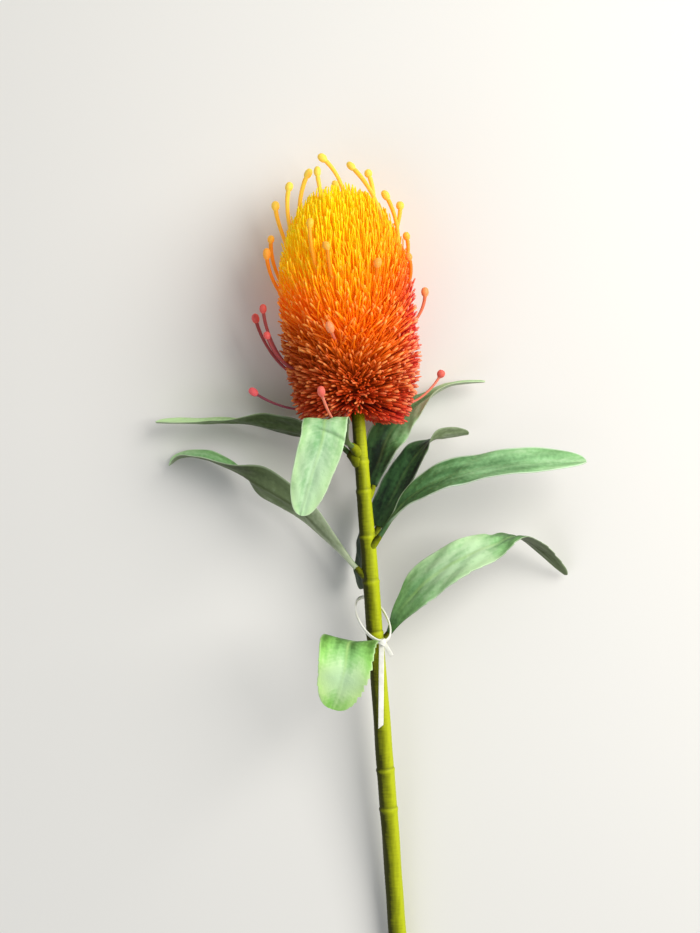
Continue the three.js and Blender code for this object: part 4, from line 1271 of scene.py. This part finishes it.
class ProteaTieSettings(bpy.types.PropertyGroup):
    """Sizes and colour of the tie."""

    width: size("Width", "Width of the strip", 2.2)
    thickness: size("Thickness", "Thickness of the strip", 0.75)
    colour: colour("Colour", "Colour of the strip", "fcfcf4")


class ProteaStageSettings(bpy.types.PropertyGroup):
    """The floor, the lights and the camera."""

    floor_size: amount("Floor size", "Width of the floor", 6, subtype="DISTANCE", unit="LENGTH")
    floor_colour: colour("Floor colour", "Colour of the floor", "e6e5e1")
    room_light: amount("Room light", "Light from all round", 0.33)
    key_light: amount("Key light", "Power of the light from the upper right", 11.4, unit="POWER")
    fill_light: amount("Fill light", "Power of the light from the left", 2.0, unit="POWER")
    lens: amount("Lens", "Focal length of the camera", 74.08, unit="CAMERA")
    camera_place: bpy.props.FloatVectorProperty(
        name="Camera place", description="Where the camera is", size=3, subtype="TRANSLATION",
        unit="LENGTH", default=(-0.00833, 0.0748, 0.826),
    )


# Operators and panel


class PROTEA_OT_add_stem(bpy.types.Operator):
    """Add the stem with its rings and pegs"""

    bl_idname = "protea.add_stem"
    bl_label = "Add Stem"

    def execute(self, context):
        build_stem(context.scene.protea_stem)
        return {"FINISHED"}


class PROTEA_OT_add_flower_head(bpy.types.Operator):
    """Add the three bands of the flower head"""

    bl_idname = "protea.add_flower_head"
    bl_label = "Add Flower Head"

    def execute(self, context):
        build_flower_head(context.scene.protea_head)
        return {"FINISHED"}


class PROTEA_OT_add_leaves(bpy.types.Operator):
    """Add the nine leaves"""

    bl_idname = "protea.add_leaves"
    bl_label = "Add Leaves"

    def execute(self, context):
        build_leaves(context.scene.protea_leaves)
        return {"FINISHED"}


class PROTEA_OT_add_tie(bpy.types.Operator):
    """Add the tie with its knot"""

    bl_idname = "protea.add_tie"
    bl_label = "Add Tie"

    def execute(self, context):
        build_tie(context.scene.protea_tie)
        return {"FINISHED"}


class PROTEA_OT_add_stage(bpy.types.Operator):
    """Add the floor, the lights and the camera"""

    bl_idname = "protea.add_stage"
    bl_label = "Add Stage"

    def execute(self, context):
        build_stage(context.scene.protea_stage)
        return {"FINISHED"}


PARTS = [
    ("protea_stem", ProteaStemSettings, PROTEA_OT_add_stem),
    ("protea_head", ProteaHeadSettings, PROTEA_OT_add_flower_head),
    ("protea_leaves", ProteaLeafSettings, PROTEA_OT_add_leaves),
    ("protea_tie", ProteaTieSettings, PROTEA_OT_add_tie),
    ("protea_stage", ProteaStageSettings, PROTEA_OT_add_stage),
]


class PROTEA_PT_sidebar(bpy.types.Panel):
    """Settings and buttons for each part of the stem"""

    bl_idname = "PROTEA_PT_sidebar"
    bl_label = "Protea Stem"
    bl_space_type = "VIEW_3D"
    bl_region_type = "UI"
    bl_category = "Protea"

    def draw(self, context):
        for key, settings, operator in PARTS:
            box = self.layout.box()
            for name in settings.__annotations__:
                box.prop(getattr(context.scene, key), name)
            box.operator(operator.bl_idname)


def register():
    """Registers the settings, the operators and the panel."""
    for key, settings, operator in PARTS:
        bpy.utils.register_class(settings)
        bpy.utils.register_class(operator)
        setattr(bpy.types.Scene, key, bpy.props.PointerProperty(type=settings))
    bpy.utils.register_class(PROTEA_PT_sidebar)


def unregister():
    """Takes the panel, the operators and the settings out again."""
    bpy.utils.unregister_class(PROTEA_PT_sidebar)
    for key, settings, operator in reversed(PARTS):
        delattr(bpy.types.Scene, key)
        bpy.utils.unregister_class(operator)
        bpy.utils.unregister_class(settings)


def main():
    """Builds every piece and the stage."""
    register()
    bpy.ops.protea.add_stem()
    bpy.ops.protea.add_flower_head()
    bpy.ops.protea.add_leaves()
    bpy.ops.protea.add_tie()
    bpy.ops.protea.add_stage()


if __name__ == "__main__":
    main()
